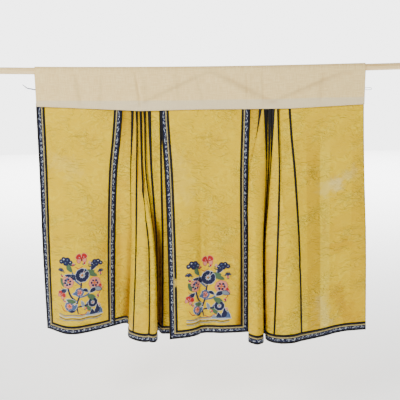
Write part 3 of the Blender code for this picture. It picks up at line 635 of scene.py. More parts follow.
def hangDetail(half, s, t, seams):
    seamAt, innerAt = s[:, seams[0]][:, None], s[:, seams[6]][:, None]
    lift = np.zeros_like(s)
    for place, depth, length, width, height in hangLook[half["word"] + "Soft"]:
        lift += height * np.exp(-((s - place) / width) ** 2 - ((t - depth) / length) ** 2) * (s < seamAt + 5)
    for place, depth, length, width, height in hangLook["innerSoft"]:
        lift += height * np.exp(-((s - innerAt - place) / width) ** 2 - ((t - depth) / length) ** 2)
    for seam, offset, start, end, width, height in hangLook[half["word"] + "Valleys"]:
        away = (s - s[:, seams[seam]][:, None] - offset) / width
        grown = np.clip((t - start) / 80, 0, 1) * np.clip((end - t) / 80, 0, 1)
        lift += height * grown * np.exp(-away * away)
    # small level ripples scattered down the cloth, fainter on the gores than on the panels
    rng = np.random.default_rng(hangLook["seed"] + len(half["word"]))
    for k in range(hangLook["ripples"]):
        down = rng.uniform(0.02, 1) * 790
        place = rng.uniform(0, 1) * s.max()
        slant = rng.uniform(-0.3, 0.3)
        onPanel = 1.0 - 0.75 * ((place > seamAt.max()) and (place < innerAt.min()))
        lift += (hangLook["ripple"] * rng.uniform(-1, 1) * onPanel
                 * np.exp(-((t - down - slant * (s - place)) / rng.uniform(6, 13)) ** 2
                          - ((s - place) / rng.uniform(14, 48)) ** 2))
    return lift


class ClothRun:
    # one half of the skirt: fine surface, its normals and its flat coordinates

    def __init__(self, half):
        self.half = half
        coarse = coarseGrid(half)
        reach = np.linalg.norm(np.diff(coarse, axis=1), axis=2).max(axis=0)
        pieces = [6 if d > 24 else 4 if d > 12 else 3 if d > 4.2 else 2 for d in reach]
        rowPieces = [4, 10, 14, 16, 17, 20, 19, 2, 2, 4, 3]
        self.columnAt = [int(n) for n in np.concatenate([[0], np.cumsum(pieces)])]
        self.rowAt = [int(n) for n in np.concatenate([[0], np.cumsum(rowPieces)])]
        fine = refined(coarse, pieces)
        fine = refined(fine.transpose(1, 0, 2), rowPieces).transpose(1, 0, 2)
        self.seams = [self.columnAt[c] for c in seamColumns(half)]
        s, t = self.measure(fine)
        lift = hangDetail(half, s, t, self.seams)
        hold = np.clip(t / 60.0, 0, 1) * np.clip((t[-1:] - t) / 60.0, 0.5, 1)
        fine = fine + outwardNormals(fine) * (lift * hold)[..., None]
        self.grid = fine
        self.normals = outwardNormals(fine)
        self.s, self.t = self.measure(fine)
        self.depth = self.pleatDepth()

    # how deep each point lies in the pleats, 0 in front to 1, from what stands before it beside it, raised by
    # strips of shade laid between packed pleats; the silk paints this as shade
    def pleatDepth(self):
        x, forward = self.grid[..., 0], self.grid[..., 1]
        depth = np.zeros_like(x)
        for r in range(x.shape[0]):
            slope = np.interp(self.t[r, 0], (0, 50, 200), (0.4, 0.7, 2.2))
            front = forward[r][None, :] - slope * np.abs(x[r][None, :] - x[r][:, None])
            scale = np.interp(self.t[r, 0], (0, 40, 200, 500), (4.5, 8, 26, 42))
            depth[r] = np.clip((front.max(axis=1) - forward[r] - 0.16 * scale) / scale, 0, 1)
        # strips of painted shade between packed pleats, darker toward their seams and fading down the cloth
        for first, last, end, strength in hangLook[self.half["word"] + "Shade"]:
            for k in range(first, last):
                c0, c1 = self.seams[k - 1], self.seams[k]
                run = self.s[:, c0:c1 + 1] - self.s[:, c0:c0 + 1]
                part = run / run[:, -1:]
                tone = strength * np.clip(1 - self.t[:, c0:c1 + 1] / end, 0, 1)
                tone = tone * (0.55 + 0.45 * np.abs(2 * part - 1))
                depth[:, c0:c1 + 1] = np.maximum(depth[:, c0:c1 + 1], tone)
        return depth

    def measure(self, grid):
        s = np.zeros(grid.shape[:2])
        s[:, 1:] = np.cumsum(np.linalg.norm(np.diff(grid, axis=1), axis=2), axis=1)
        t = np.zeros(grid.shape[:2])
        t[1:] = np.cumsum(np.linalg.norm(np.diff(grid, axis=0), axis=2), axis=0)
        return s, t

    # point on the outer panel: u from its left edge, v above the hem, lifted off the cloth
    def spot(self, u, v, lift):
        height = (self.t[-1] - self.t)[:, self.seams[0] // 2]
        r = np.interp(-v, -height, np.arange(len(height)))
        r0 = min(int(r), len(height) - 2)
        part = r - r0
        run = self.s[r0] * (1 - part) + self.s[r0 + 1] * part
        c = np.interp(u, run[:self.seams[0] + 1], np.arange(self.seams[0] + 1))
        c0 = min(int(c), self.seams[0] - 1)
        side = c - c0
        out = []
        for values in (self.grid, self.normals):
            top = values[r0, c0] * (1 - side) + values[r0, c0 + 1] * side
            low = values[r0 + 1, c0] * (1 - side) + values[r0 + 1, c0 + 1] * side
            out.append(top * (1 - part) + low * part)
        return out[0] + out[1] * lift


class TapeRun:
    # a narrow strip of a cloth run, centred on a seam: reach gives its half widths down each row

    def __init__(self, run, seam, rowCount, before, after, steps=7):
        parts = np.linspace(-1.0, 1.0, steps)
        shape = (rowCount, steps)
        self.grid, self.normals = np.empty((*shape, 3)), np.empty((*shape, 3))
        self.s, self.t = np.empty(shape), np.empty(shape)
        for r in range(rowCount):
            depth = run.t[r, seam]
            wide = [np.interp(depth, (0, 60, 190), table) for table in (before, after)]
            run0 = run.s[r, seam]
            at = [run0 + part * (wide[0] if part < 0 else wide[1]) for part in parts]
            for k in range(3):
                self.grid[r, :, k] = np.interp(at, run.s[r], run.grid[r, :, k])
                self.normals[r, :, k] = np.interp(at, run.s[r], run.normals[r, :, k])
            self.s[r] = at
            self.t[r] = depth


def clothMesh(name, verts, faces, loopUvs, look, smooth=True, pleats=None):
    mesh = bpy.data.meshes.new(name)
    mesh.from_pydata(verts, [], faces)
    layer = mesh.uv_layers.new(name="cloth")
    layer.data.foreach_set("uv", np.asarray(loopUvs, float).ravel())
    if pleats:
        pleatLayer = mesh.uv_layers.new(name="pleat")
        pleatLayer.data.foreach_set("uv", np.stack([pleats, np.zeros(len(pleats))], axis=1).ravel())
    mesh.polygons.foreach_set("use_smooth", [smooth] * len(mesh.polygons))
    mesh.materials.append(look)
    mesh.update()
    made = bpy.data.objects.new(name, mesh)
    bpy.context.scene.collection.objects.link(made)
    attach(made, "root")
    return made


# a thin shell over cells of a cloth run, from rows[r] to rows[r + 1] and columns[c] to columns[c + 1]
def shell(name, run, rows, columns, low, high, look, keep=None, uvOf=None, crown=None):
    cells = {(r, c) for r in range(len(rows) - 1) for c in range(len(columns) - 1)
             if keep is None or keep(rows[r], columns[c])}
    index, verts, faces, uvs, pleats = {}, [], [], [], []
    # the painted shade of each point, where the run carries it; only the faces of the raised layer take it, the
    # rest get none
    depth = getattr(run, "depth", None)

    def corner(r, c, layer):
        key = (r, c, layer)
        if key not in index:
            row, column = rows[r], columns[c]
            offset = low
            if layer:
                offset = high if crown is None else low + (high - low) * crown(row, column)
            spot = run.grid[row, column] + run.normals[row, column] * offset
            index[key] = len(verts)
            verts.append((spot[0] * mm, -spot[1] * mm, spot[2] * mm))
        return index[key]

    def place(r, c, cell):
        row, column = rows[r], columns[c]
        if uvOf is None:
            return (run.s[row, column] * mm, run.t[row, column] * mm)
        return uvOf(row, column, rows[cell[0]], columns[cell[1]])

    def face(corners, cell):
        faces.append([corner(*k) for k in corners])
        uvs.extend(place(k[0], k[1], cell) for k in corners)
        if depth is not None:
            front = all(k[2] for k in corners)
            pleats.extend(depth[rows[k[0]], columns[k[1]]] if front else 0.0 for k in corners)

    for r, c in sorted(cells):
        cell = (r, c)
        face([(r, c, 1), (r + 1, c, 1), (r + 1, c + 1, 1), (r, c + 1, 1)], cell)
        face([(r, c, 0), (r, c + 1, 0), (r + 1, c + 1, 0), (r + 1, c, 0)], cell)
        if (r - 1, c) not in cells:
            face([(r, c, 1), (r, c + 1, 1), (r, c + 1, 0), (r, c, 0)], cell)
        if (r + 1, c) not in cells:
            face([(r + 1, c, 1), (r + 1, c, 0), (r + 1, c + 1, 0), (r + 1, c + 1, 1)], cell)
        if (r, c - 1) not in cells:
            face([(r, c, 1), (r, c, 0), (r + 1, c, 0), (r + 1, c, 1)], cell)
        if (r, c + 1) not in cells:
            face([(r, c + 1, 1), (r + 1, c + 1, 1), (r + 1, c + 1, 0), (r, c + 1, 0)], cell)
    return clothMesh(name, verts, faces, uvs, look, pleats=pleats)


def declareSheet(run, first, last):
    s = run.s[:, last] - run.s[:, first]
    t = run.t[-1, first:last + 1]
    block = run.grid[:, first:last + 1]
    a = np.diff(block, axis=1)[:-1]
    b = np.diff(block, axis=0)[:, :-1]
    area = float(np.linalg.norm(np.cross(a, b), axis=2).sum()) * mm * mm
    flat = (float(s.max()) * mm, float(t.max()) * mm)
    area = min(area, flat[0] * flat[1])
    return flat, area


cutSizes = {}
pipingPlain = (3.4, 3.4, 3.4)


def makeHalf(half):
    run = ClothRun(half)
    word, panelName, panelNode = half["word"], half["panelName"], half["panelNode"]
    rows = list(range(run.grid.shape[0]))
    last = rows[-1]
    seams = run.seams
    low, high = -skirtCut["wall"] / 2, skirtCut["wall"] / 2
    trimLow = high + skirtCut["trimLift"]
    trimHigh = trimLow + skirtCut["trimWall"]
    end = run.grid.shape[1] - 1
    bands = (("Binding", satin, "binding"), ("Ribbon", ribbon, "ribbon"), ("Braid", braid, "braid"),
             ("CordEdge", satin, "cord_edge"))
    panelTrims, hemTrims = [], []
    hemUp = run.t[-1:] - run.t
    for k, (label, look, nodeEnd) in enumerate(bands):
        width = skirtCut["bandEdges"][k + 1] - skirtCut["bandEdges"][k]
        r0, r1 = run.rowAt[-2 - k], run.rowAt[-1 - k]
        leftIn, leftOut = run.columnAt[k + 1], run.columnAt[k]
        rightIn = run.columnAt[skirtCut["panelSteps"] - k - 1]
        rightOut = run.columnAt[skirtCut["panelSteps"] - k]

        def rounded(part):
            return 0.45 + 0.55 * math.sqrt(max(0.0, math.sin(math.pi * min(max(part, 0.0), 1.0))))

        def hemCrown(row, column, r0=r0, r1=r1):
            return rounded((row - r0) / (r1 - r0))

        def frameCrown(row, column, r0=r0, r1=r1, a=leftOut, b=leftIn, c=rightIn, d=rightOut):
            if row >= r0 and b <= column <= c:
                return rounded((row - r0) / (r1 - r0))
            part = (column - a) / (b - a) if column <= b else (column - c) / (d - c)
            return rounded(part)

        def frameUv(row, column, cellRow, cellColumn, r0=r0, b=leftIn, c=rightIn, k=k):
            if cellRow >= r0:
                return (run.s[row, column] * mm, (hemUp[row, column] - skirtCut["bandEdges"][k]) * mm)
            if cellColumn < b:
                return (run.t[row, column] * mm, (run.s[row, column] - skirtCut["bandEdges"][k]) * mm)
            across = run.s[row, seams[0]] - run.s[row, column] - skirtCut["bandEdges"][k]
            return (run.t[row, column] * mm, across * mm)

        def hemUv(row, column, cellRow, cellColumn, k=k):
            return (run.s[last, column] * mm, (hemUp[row, column] - skirtCut["bandEdges"][k]) * mm)

        piece = shell(f"{panelName}{label}", run, list(range(0, r1 + 1)), list(range(leftOut, rightOut + 1)),
                      trimLow, trimHigh, look, uvOf=frameUv, crown=frameCrown,
                      keep=lambda r, c, r0=r0, b=leftIn, d=rightIn: r >= r0 or c < b or c >= d)
        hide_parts(f"{panelNode}_{nodeEnd}")
        panelTrims.append(piece)
        piece = shell(f"{word}Hem{label}", run, list(range(r0, r1 + 1)), list(range(seams[0], end + 1)),
                      trimLow, trimHigh, look, uvOf=hemUv, crown=hemCrown)
        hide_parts(f"{word}_hem_{nodeEnd}")
        hemTrims.append(piece)
    panel = shell(panelName, run, rows, list(range(0, seams[0] + 1)), low, high, silk)
    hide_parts(panelNode)
    for k in range(1, 7):
        before, after = half["pipings"].get(k, (pipingPlain, pipingPlain))
        count = run.rowAt[-5] + 1
        tape = TapeRun(run, seams[k], count, before, after)
        piece = shell(f"{word}Piping{k}", tape, list(range(count)), list(range(7)),
                      trimLow, trimHigh, satin, crown=lambda r, c: rounded(c / 6))
        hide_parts(f"{word}_piping_{k}")
    for k in range(6):
        piece = shell(f"{word}Gore{k + 1}", run, rows, list(range(seams[k], seams[k + 1] + 1)), low, high, silk)
        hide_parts(f"{word}_gore_{k + 1}")
        cutSizes[piece.name] = declareSheet(run, seams[k], seams[k + 1])
    inner = shell(f"{word}InnerPanel", run, rows, list(range(seams[6], end + 1)), low, high, silk)
    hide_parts(f"{word}_inner_panel")
    cutSizes[inner.name] = declareSheet(run, seams[6], end)
    return run, panel, panelTrims


leftRun, leftPanel, leftTrims = makeHalf(leftHalf)
print("left half made")
rightRun, middlePanel, middleTrims = makeHalf(rightHalf)
print("right half made")

# waistband, folded over the rod: forward and height of its two leaves, in millimetres
bandLook = dict(
    wall=1.8, half=560.0, columns=400, sag=9.0, rodHalf=750.0,
    front=((7.8, -1.0), (8.3, -0.8), (9.5, -0.52), (11.2, -0.25), (13.3, -0.07)),
    over=((13.5, 2.0), (10.6, 8.6), (4.2, 13.1), (-4.2, 13.1), (-10.6, 8.6), (-13.5, 2.0)),
    behind=((-13.2, -0.07), (-11.2, -0.25), (-9.6, -0.52), (-8.6, -0.8), (-8.0, -1.0)),
    folds=((-203, -196, 2.2, 16), (30, -165, 1.8, 45), (40, 185, 1.6, 45), (505, 300, 1.8, 40),
           (-430, -455, 1.2, 40)),
    creases=((-221, -205, -3.6, 4), (-206, -190, 3.0, 11), (70, -300, 3.0, 20), (34, -250, -2.6, 16),
             (6, 240, 3.0, 20), (40, 290, -2.6, 16), (158, 160, -1.8, 4), (165, 168, 1.6, 6),
             (212, 214, -1.6, 4), (540, 230, 3.4, 20), (506, 190, -2.8, 16), (-330, -345, -1.4, 6),
             (-80, -70, -1.2, 7), (420, 405, -1.6, 8), (-500, -490, 2.4, 16), (-425, -405, -1.8, 9),
             (-20, 20, -1.2, 6)))


def rodHeight(x):
    return bandLook["sag"] * (x / bandLook["rodHalf"]) ** 2


def bandHeight(x, part):
    return rodHeight(x) * (1 + part) - part * valueAt(skirtCut["lowerEdge"], x)


def foldLift(x, part, table):
    lift = 0.0
    for topX, lowX, height, halfWidth in table:
        away = (x - (topX + (lowX - topX) * part)) / halfWidth
        lift += height * math.exp(-away * away) * math.sin(math.pi * min(max(part * 0.9 + 0.1, 0), 1))
    return lift


def makeWaistband():
    coarse = []
    xs = np.linspace(-bandLook["half"], bandLook["half"], bandLook["columns"] + 1)
    for forward, part in bandLook["front"]:
        coarse.append([(x, forward + foldLift(x, -part, bandLook["folds"]), bandHeight(x, part)) for x in xs])
    for forward, rise in bandLook["over"]:
        coarse.append([(x, forward, rodHeight(x) + rise) for x in xs])
    for forward, part in bandLook["behind"]:
        coarse.append([(x, forward, bandHeight(x, part)) for x in xs])
    coarse = np.array(coarse)[::-1]
    fine = refined(coarse.transpose(1, 0, 2), [4, 6, 6, 5, 3, 3, 3, 3, 3, 3, 3, 5, 6, 6, 4]).transpose(1, 0, 2)

    class BandRun:
        grid = fine
        normals = -outwardNormals(fine)
    run = BandRun()
    # creases pressed in by years of folding, on the front leaf and fainter ones behind; the hollow ones are also
    # painted darker as shade, kept in depth
    count = fine.shape[0]
    lower = 130.0
    run.depth = np.zeros(fine.shape[:2])
    paintedShadeHollows = [shadePaintedCrease for shadePaintedCrease in bandLook["creases"] if shadePaintedCrease[2] < 0]
    for r in range(count):
        for c, x in enumerate(xs):
            z = fine[r, c, 2]
            if z > -4:
                continue
            part = min(1.0, -z / lower)
            strength = 1.0 if fine[r, c, 1] > 0 else 0.5
            fine[r, c] += run.normals[r, c] * -strength * foldLift(x, part, bandLook["creases"])
            run.depth[r, c] = min(1.0, -strength * foldLift(x, part, paintedShadeHollows) / 3.2)
    run.normals = -outwardNormals(fine)
    run.s = np.tile((xs + bandLook["half"])[None, :], (count, 1))
    run.t = np.zeros((count, len(xs)))
    steps = np.linalg.norm(np.diff(fine, axis=0), axis=2)
    run.t[1:] = np.cumsum(steps, axis=0)
    whole = float(run.t[-1].max())
    run.t = np.abs(run.t - run.t[-1:] / 2)
    half = bandLook["wall"] / 2
    piece = shell("waistbandCotton", run, list(range(count)), list(range(len(xs))), half, -half, cotton)
    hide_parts("waistband")
    cutSizes[piece.name] = (2 * bandLook["half"] * mm, whole * mm)
    return piece


waistband = makeWaistband()
print("waistband made")

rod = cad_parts["rod"]
rod.data.materials.clear()
rod.data.materials.append(pine)


# embroidery of a general kind: a flowering peony shrub with butterflies, clouds, rock and water
flossLook = dict(navy="#161C44", blue="#4A6088", pale="#BFCAD4", sage="#4C6A48", coral="#D8583E",
                 pink="#E2907A", red="#B81F1C", grey="#7D8C98", black="#151316", gold="#C98A1E",
                 lift=0.75, dome=0.7)


class Stitching:
    # satin-stitched shapes laid on a cloth run, u to the right and v up from the middle of their block

    def __init__(self, run, centre, scale):
        self.run, self.centre, self.scale = run, centre, scale
        self.verts, self.faces, self.uvs, self.colours = [], [], [], []
        self.level = 0

    def vert(self, u, v, lift, dye):
        x = self.centre[0] + u * self.scale[0]
        y = self.centre[1] + v * self.scale[1]
        spot = self.run.spot(x, y, lift)
        self.verts.append((spot[0] * mm, -spot[1] * mm, spot[2] * mm))
        self.uvs.append((x * mm, y * mm))
        self.colours.append(linearColour(flossLook[dye]))
        return len(self.verts) - 1

    # a filled shape from its outline, crowned toward the middle, with an edge of another dye
    def shape(self, outline, dye, rim=None, edge=0.84):
        self.level += 1
        base = flossLook["lift"] + 0.02 * (self.level % 30)
        outline = np.array(outline, float)
        middle = outline.mean(axis=0)
        rings = [(1.0, 0.0, rim or dye), (edge, 0.35, rim or dye), (edge * 0.97, 0.3, dye), (0.45, 0.6, dye)]
        loops = []
        for ring, rise, ringDye in rings:
            points = middle + (outline - middle) * ring
            loops.append([self.vert(*p, base + rise * flossLook["dome"], ringDye) for p in points])
        tip = self.vert(*middle, base + 0.7 * flossLook["dome"], dye)
        count = len(outline)
        for a, b in zip(loops, loops[1:]):
            self.faces += [(a[i], a[(i + 1) % count], b[(i + 1) % count], b[i]) for i in range(count)]
        self.faces += [(loops[-1][i], loops[-1][(i + 1) % count], tip) for i in range(count)]

    # a couched line through a few points
    def line(self, points, width, dye, tapered=True):
        self.level += 1
        base = flossLook["lift"] + 0.02 * (self.level % 30)
        points = np.array(points, float)
        knots = np.concatenate([[0.0], np.cumsum(np.linalg.norm(np.diff(points, axis=0), axis=1))])
        path = smoothThrough(knots, points, np.linspace(0, knots[-1], max(8, int(knots[-1] / 3))))
        rows = []
        for part, p, way in zip(np.linspace(0.03, 0.97, len(path)), path, np.gradient(path, axis=0)):
            size = width / 2 * (math.sin(math.pi * part) ** 0.4 if tapered else 1.0)
            side = np.array((-way[1], way[0])) / np.linalg.norm(way) * size
            rows.append([self.vert(*(p - side), base, dye), self.vert(*p, base + 0.4, dye),
                         self.vert(*(p + side), base, dye)])
        for a, b in zip(rows, rows[1:]):
            self.faces += [(a[0], a[1], b[1], b[0]), (a[1], a[2], b[2], b[1])]

    def leaf(self, u, v, length, width, degrees, dye, rim=None, bend=0.0):
        turn = math.radians(degrees)
        outline = []
        for side in (1, -1):
            for i in range(9):
                part = i / 9 if side == 1 else 1 - i / 9
                x = part * length
                y = side * width / 2 * math.sin(math.pi * part) ** 0.75 + bend * math.sin(math.pi * part)
                outline.append((u + x * math.cos(turn) - y * math.sin(turn),
                                v + x * math.sin(turn) + y * math.cos(turn)))
        self.shape(outline, dye, rim)

    def petal(self, u, v, size, degrees, dye, rim=None, wide=1.0, near=0.25):
        turn = math.radians(degrees)
        outline = []
        for i in range(14):
            angle = 2 * math.pi * i / 14
            x = size * (near + 0.5 * (1 - near) * (1 + math.cos(angle)))
            y = size * wide * 0.3 * math.sin(angle) * (1 + 0.4 * math.cos(angle))
            outline.append((u + x * math.cos(turn) - y * math.sin(turn),
                            v + x * math.sin(turn) + y * math.cos(turn)))
        self.shape(outline, dye, rim)

    def disc(self, u, v, size, dye, rim=None, edge=0.7):
        self.shape([(u + size * math.cos(a), v + size * math.sin(a))
                    for a in np.linspace(0, 2 * math.pi, 14, endpoint=False)], dye, rim, edge)

    # peony: three rings of petals, each dyed and edged in its own way
    def peony(self, u, v, size, rings, turn=0.0):
        for count, reach, dye, rim in rings:
            for i in range(count):
                self.petal(u, v, size * reach, turn + 360 * i / count + 90 * reach, dye, rim, 1.25)
        self.disc(u, v, size * 0.15, "gold", "red")

    # cloud of four round lobes with pale curls in them, and a tail
    def cloud(self, u, v, size, side=1):
        for du, dv, part in ((-0.8, -0.05, 0.42), (-0.3, 0.36, 0.46), (0.35, 0.3, 0.5), (0.85, -0.08, 0.4),
                             (0.05, -0.2, 0.5)):
            x, y = u + side * du * size, v + dv * size
            self.disc(x, y, size * part, "navy")
            self.disc(x, y + 0.03 * size, size * part * 0.62, "pale" if part < 0.48 else "blue", "pale", 0.6)
            self.line([(x - size * part * 0.4, y - size * part * 0.2), (x, y + size * part * 0.3),
                       (x + size * part * 0.4, y - size * part * 0.1)], size * 0.1, "navy")
        self.line([(u + side * size * 0.6, v - 0.4 * size), (u + side * size * 1.2, v - 0.62 * size),
                   (u + side * size * 1.7, v - 0.4 * size)], size * 0.24, "navy")

    def butterfly(self, u, v, size, degrees):
        for side in (1, -1):
            self.petal(u, v, size * 1.35, degrees + side * 42, "red", "pink", 1.5, 0.08)
            self.petal(u, v, size, degrees + side * 112, "pink", "red", 1.5, 0.08)
            self.petal(u, v, size * 0.8, degrees + side * 45, "pale", None, 0.7, 0.5)
        for side in (-1, 0, 1):
            turn = math.radians(degrees + side * 16)
            reach = 0.45 if side == 0 else 0.95
            tail = size * 0.35 * (side == 0)
            self.line([(u - tail * math.cos(turn), v - tail * math.sin(turn)),
                       (u + size * 0.2 * math.cos(turn), v + size * 0.2 * math.sin(turn)),
                       (u + size * reach * math.cos(turn), v + size * reach * math.sin(turn))],
                      size * (0.2 if side == 0 else 0.08), "black" if side == 0 else "red")

    def build(self, name):
        loopUvs = [self.uvs[i] for f in self.faces for i in f]
        piece = clothMesh(name, self.verts, self.faces, loopUvs, floss)
        layer = piece.data.color_attributes.new("floss", "FLOAT_COLOR", "POINT")
        layer.data.foreach_set("color", np.asarray(self.colours, float).ravel())
        return piece


# the design, in millimetres from the middle of its block, which is 165 wide and 235 tall
sprayLook = dict(
    stems=(((-8, -96), (-14, -62), (-4, -30), (2, 6), (4, 40)), ((-12, -50), (-34, -30), (-46, 2), (-52, 22)),
           ((-6, -36), (24, -28), (44, -8), (52, 14)), ((-13, -70), (18, -66), (44, -60)),
           ((2, 20), (24, 40), (34, 62)), ((0, 10), (-22, 34), (-30, 60))),
    stemDyes=("navy", "navy", "blue", "navy", "navy", "blue"),
    vines=(((-74, -64), (-58, -84), (-34, -78), (-20, -88)), ((-10, -92), (14, -100), (36, -88), (52, -96)),
           ((60, -36), (74, -22), (66, 0), (78, 12)), ((-76, -30), (-64, -14), (-74, 4)),
           ((-20, 78), (-6, 70), (8, 80))),
    leaves=((4, 40, 52, 26, 22, "sage", None), (2, 34, 50, 24, 160, "navy", "pale"),
            (-46, 2, 44, 21, 130, "sage", None), (-46, -2, 40, 19, 205, "navy", "pale"),
            (-12, -50, 44, 21, 168, "sage", "pale"), (-10, -58, 40, 18, 215, "blue", "pale"),
            (24, -28, 46, 22, -38, "sage", None), (30, -22, 40, 19, 24, "navy", "pale"),
            (46, -8, 38, 18, -12, "grey", "navy"), (18, -66, 38, 17, 20, "navy", "pale"),
            (16, -68, 36, 16, -42, "sage", None), (34, 60, 36, 17, 40, "navy", "pale"),
            (28, 48, 36, 16, -14, "sage", None), (-30, 58, 38, 18, 118, "sage", None),
            (-26, 50, 34, 15, 186, "navy", "pale"), (-14, -76, 34, 15, 192, "navy", None),
            (0, -10, 34, 16, 200, "blue", "pale"), (4, -6, 30, 14, -24, "navy", "pale"),
            (-52, 20, 28, 13, 62, "blue", "pale"), (2, -46, 30, 13, -76, "grey", "pale")),
    peonies=((6, 46, 27, 0), (-46, 22, 22, 1), (52, 14, 23, 1), (46, -58, 19, 0), (-40, -66, 18, 2),
             (-4, -16, 18, 2)),
    rings=(((9, 1.0, "navy", "pale"), (7, 0.74, "coral", "pink"), (5, 0.46, "pale", "coral")),
           ((8, 1.0, "pink", "coral"), (6, 0.72, "navy", "pale"), (4, 0.42, "coral", None)),
           ((8, 1.0, "blue", "pale"), (6, 0.68, "pink", "coral"), (4, 0.4, "red", None))),
    buds=((-64, -48, "coral"), (70, -40, "red"), (34, 84, "pink"), (-32, 84, "coral"), (76, -74, "pink"),
          (-74, 44, "red"), (20, -84, "coral"), (-66, -8, "pink"), (78, 44, "coral"), (12, 84, "red")),
    clouds=((-54, 96, 21, 1), (58, 88, 19, -1), (-72, 64, 10, 1), (74, 58, 9, -1)),
    butterflies=((4, 104, 19, 96), (-72, -30, 15, 60), (70, -8, 13, 120)),
    rocks=((66, 44, 30, "navy"), (78, 30, 22, "blue"), (46, 26, 26, "navy"), (30, 15, 22, "grey")),
    water=((2, "blue"), (-5, "pale"), (-11.5, "navy"), (-17, "grey")))


def embroider(name, run, centre, scale):
    work = Stitching(run, centre, scale)
    look = sprayLook
    for path in look["vines"]:
        work.line(path, 3.0, "red")
    for path, dye in zip(look["stems"], look["stemDyes"]):
        work.line(path, 7.0, dye)
    for u, v, length, width, degrees, dye, rim in look["leaves"]:
        work.leaf(u, v, length, width, degrees, dye, rim, bend=3.0)
        turn = math.radians(degrees)
        vein = [(u + length * part * math.cos(turn) - 2.4 * math.sin(turn),
                 v + length * part * math.sin(turn) + 2.4 * math.cos(turn)) for part in (0.1, 0.5, 0.85)]
        work.line(vein, 1.6, "pale" if dye in ("navy", "blue") else "navy")
    for u, v, size, kind in look["peonies"]:
        work.peony(u, v, size, look["rings"][kind], turn=u)
    for u, v, dye in look["buds"]:
        work.leaf(u, v, 13, 9, 60 + u, dye, "pale")
        work.leaf(u, v, 8, 5, 130 + u, "sage")
    for u, v, size, side in look["clouds"]:
        work.cloud(u, v, size, side)
    for u, v, size, degrees in look["butterflies"]:
        work.butterfly(u, v, size, degrees)
    for u, height, width, dye in look["rocks"]:
        outline = [(u - width / 2 + width * p, -106 + height * q) for p, q in
                   ((0, 0), (0.06, 0.4), (0.2, 0.55), (0.3, 0.9), (0.48, 1.0), (0.62, 0.72), (0.8, 0.6), (1, 0))]
        work.shape(outline, dye, "pale")
    for rise, dye in look["water"]:
        low = -102 + rise
        work.line([(-82, low + 3), (-56, low - 1), (-30, low + 2), (0, low - 2), (30, low + 1), (58, low - 2),
                   (82, low + 2)], 2.8, dye, tapered=False)
    return work.build(name)


leftSpray = embroider("leftEmbroidery", leftRun, (143, 170), (0.98, 1.0))
middleSpray = embroider("middleEmbroidery", rightRun, (147, 160), (1.05, 1.0))
cutSizes["leftPanel"] = declareSheet(leftRun, 0, leftRun.seams[0])
cutSizes["middlePanel"] = declareSheet(rightRun, 0, rightRun.seams[0])
print("embroidery made")

# tie cord stub at the left end and loop at the right, in millimetres: x, forward, z
tieLook = dict(
    left=((-560.5, 10.5, -58), (-574, 11.5, -55), (-587, 12, -52), (-595, 12, -46), (-602, 12, -40)),
    leftRadii=(1.9, 1.9, 1.7, 1.2, 0.8),
    right=((560.5, 10.5, -64), (572, 12, -63.5), (580, 13, -65), (581, 13, -69), (572, 12, -70.5),
           (560.5, 10.5, -70)),
    rightRadius=0.8)


def makeCord(name, points, radii, look, sides=12):
    path = np.array([(x, -forward, z) for x, forward, z in points], float)
    knots = np.concatenate([[0.0], np.cumsum(np.linalg.norm(np.diff(path, axis=0), axis=1))])
    at = np.linspace(0.0, knots[-1], 30)
    line = smoothThrough(knots, path, at)
    sizes = np.interp(at, knots, radii)
    ways = np.gradient(line, axis=0)
    verts, faces = [], []
    for i, (point, way, size) in enumerate(zip(line, ways, sizes)):
        way = way / np.linalg.norm(way)
        side = np.cross(way, (0.0, 1.0, 0.0))
        side /= np.linalg.norm(side)
        rise = np.cross(side, way)
        for j in range(sides):
            angle = 2 * math.pi * j / sides
            ply = size * (1 + 0.08 * math.cos(2 * angle - 0.9 * i))
            verts.append(tuple((point + ply * (math.cos(angle) * side + math.sin(angle) * rise)) * mm))
    for i in range(len(line) - 1):
        for j in range(sides):
            a, b = i * sides + j, i * sides + (j + 1) % sides
            faces.append((a, a + sides, b + sides, b))
    last = (len(line) - 1) * sides
    faces += [tuple(range(sides)), tuple(reversed(range(last, last + sides)))]
    uvs = [(0.0, 0.0)] * sum(len(f) for f in faces)
    piece = clothMesh(name, verts, faces, uvs, look)
    length = float(np.linalg.norm(np.diff(line, axis=0), axis=1).sum()) * mm
    return piece, length, [tuple(p * mm) for p in line]


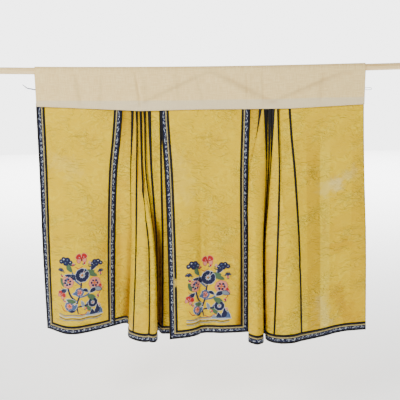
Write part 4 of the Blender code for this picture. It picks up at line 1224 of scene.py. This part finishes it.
tie, tieLength, tiePath = makeCord("tieCordLeft", tieLook["left"], tieLook["leftRadii"],
                                   cordMaterial("fadedBlueCord", "#1E2A44", "#44587C"))
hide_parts("tie_left")
loop, loopLength, loopPath = makeCord("tieLoopRight", tieLook["right"], [tieLook["rightRadius"]] * 6,
                                      cordMaterial("paleBlueCord", "#3F78A6", "#7FAACB"))
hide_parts("loop_right")
print("ties made, lengths", round(tieLength, 4), round(loopLength, 4))

# studio: pale floor well below the hem, white surround, one broad lamp up to the left
studioLook = dict(floorZ=-1.32, floorCorners=((-9, -7), (9, -7), (9, 12), (-9, 12)),
                  white="#FFFFFF", surround=0.3, seen=4.4, lampPower=86.0, fillPower=17.0,
                  floorPower=4700.0)
floorMesh = bpy.data.meshes.new("studioFloor")
floorMesh.from_pydata([(x, y, studioLook["floorZ"]) for x, y in studioLook["floorCorners"]], [], [(0, 1, 2, 3)])
floor = bpy.data.objects.new("studioFloor", floorMesh)
bpy.context.scene.collection.objects.link(floor)
floorPaint, _, floorShader = newMaterial("paleFloorPaint", Roughness=0.9)
floorShader.inputs["Base Color"].default_value = linearColour(studioLook["white"])
floorMesh.materials.append(floorPaint)
world = bpy.data.worlds.new("studioSurround")
world.use_nodes = True
surround = world.node_tree.nodes["Background"]
surround.inputs[0].default_value = linearColour(studioLook["white"])
rays = world.node_tree.nodes.new("ShaderNodeLightPath")
bright = mathNode(world.node_tree, "MULTIPLY_ADD", rays.outputs["Is Camera Ray"],
                  studioLook["seen"] - studioLook["surround"], studioLook["surround"])
world.node_tree.links.new(bright, surround.inputs[1])
bpy.context.scene.world = world


def addLamp(name, place, aim, size, power):
    data = bpy.data.lights.new(name, "AREA")
    data.shape = "RECTANGLE"
    data.size, data.size_y = size
    data.energy = power
    lamp = bpy.data.objects.new(name, data)
    lamp.location = place
    way = Vector(aim) - Vector(place)
    lamp.rotation_euler = way.to_track_quat("-Z", "Y").to_euler()
    bpy.context.scene.collection.objects.link(lamp)


addLamp("broadLamp", (-1.35, -2.3, 1.1), (0, 0, -0.45), (0.8, 0.8), studioLook["lampPower"])
addLamp("fillLamp", (0.9, -2.5, 0.0), (0, 0, -0.5), (1.2, 1.2), studioLook["fillPower"])
addLamp("floorLamp", (0, 8.5, 3.2), (0, 8.6, -1.3), (14.0, 10.0), studioLook["floorPower"])
print("studio lit")

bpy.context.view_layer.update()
for name, size in cutSizes.items():
    print("cut", name, size)
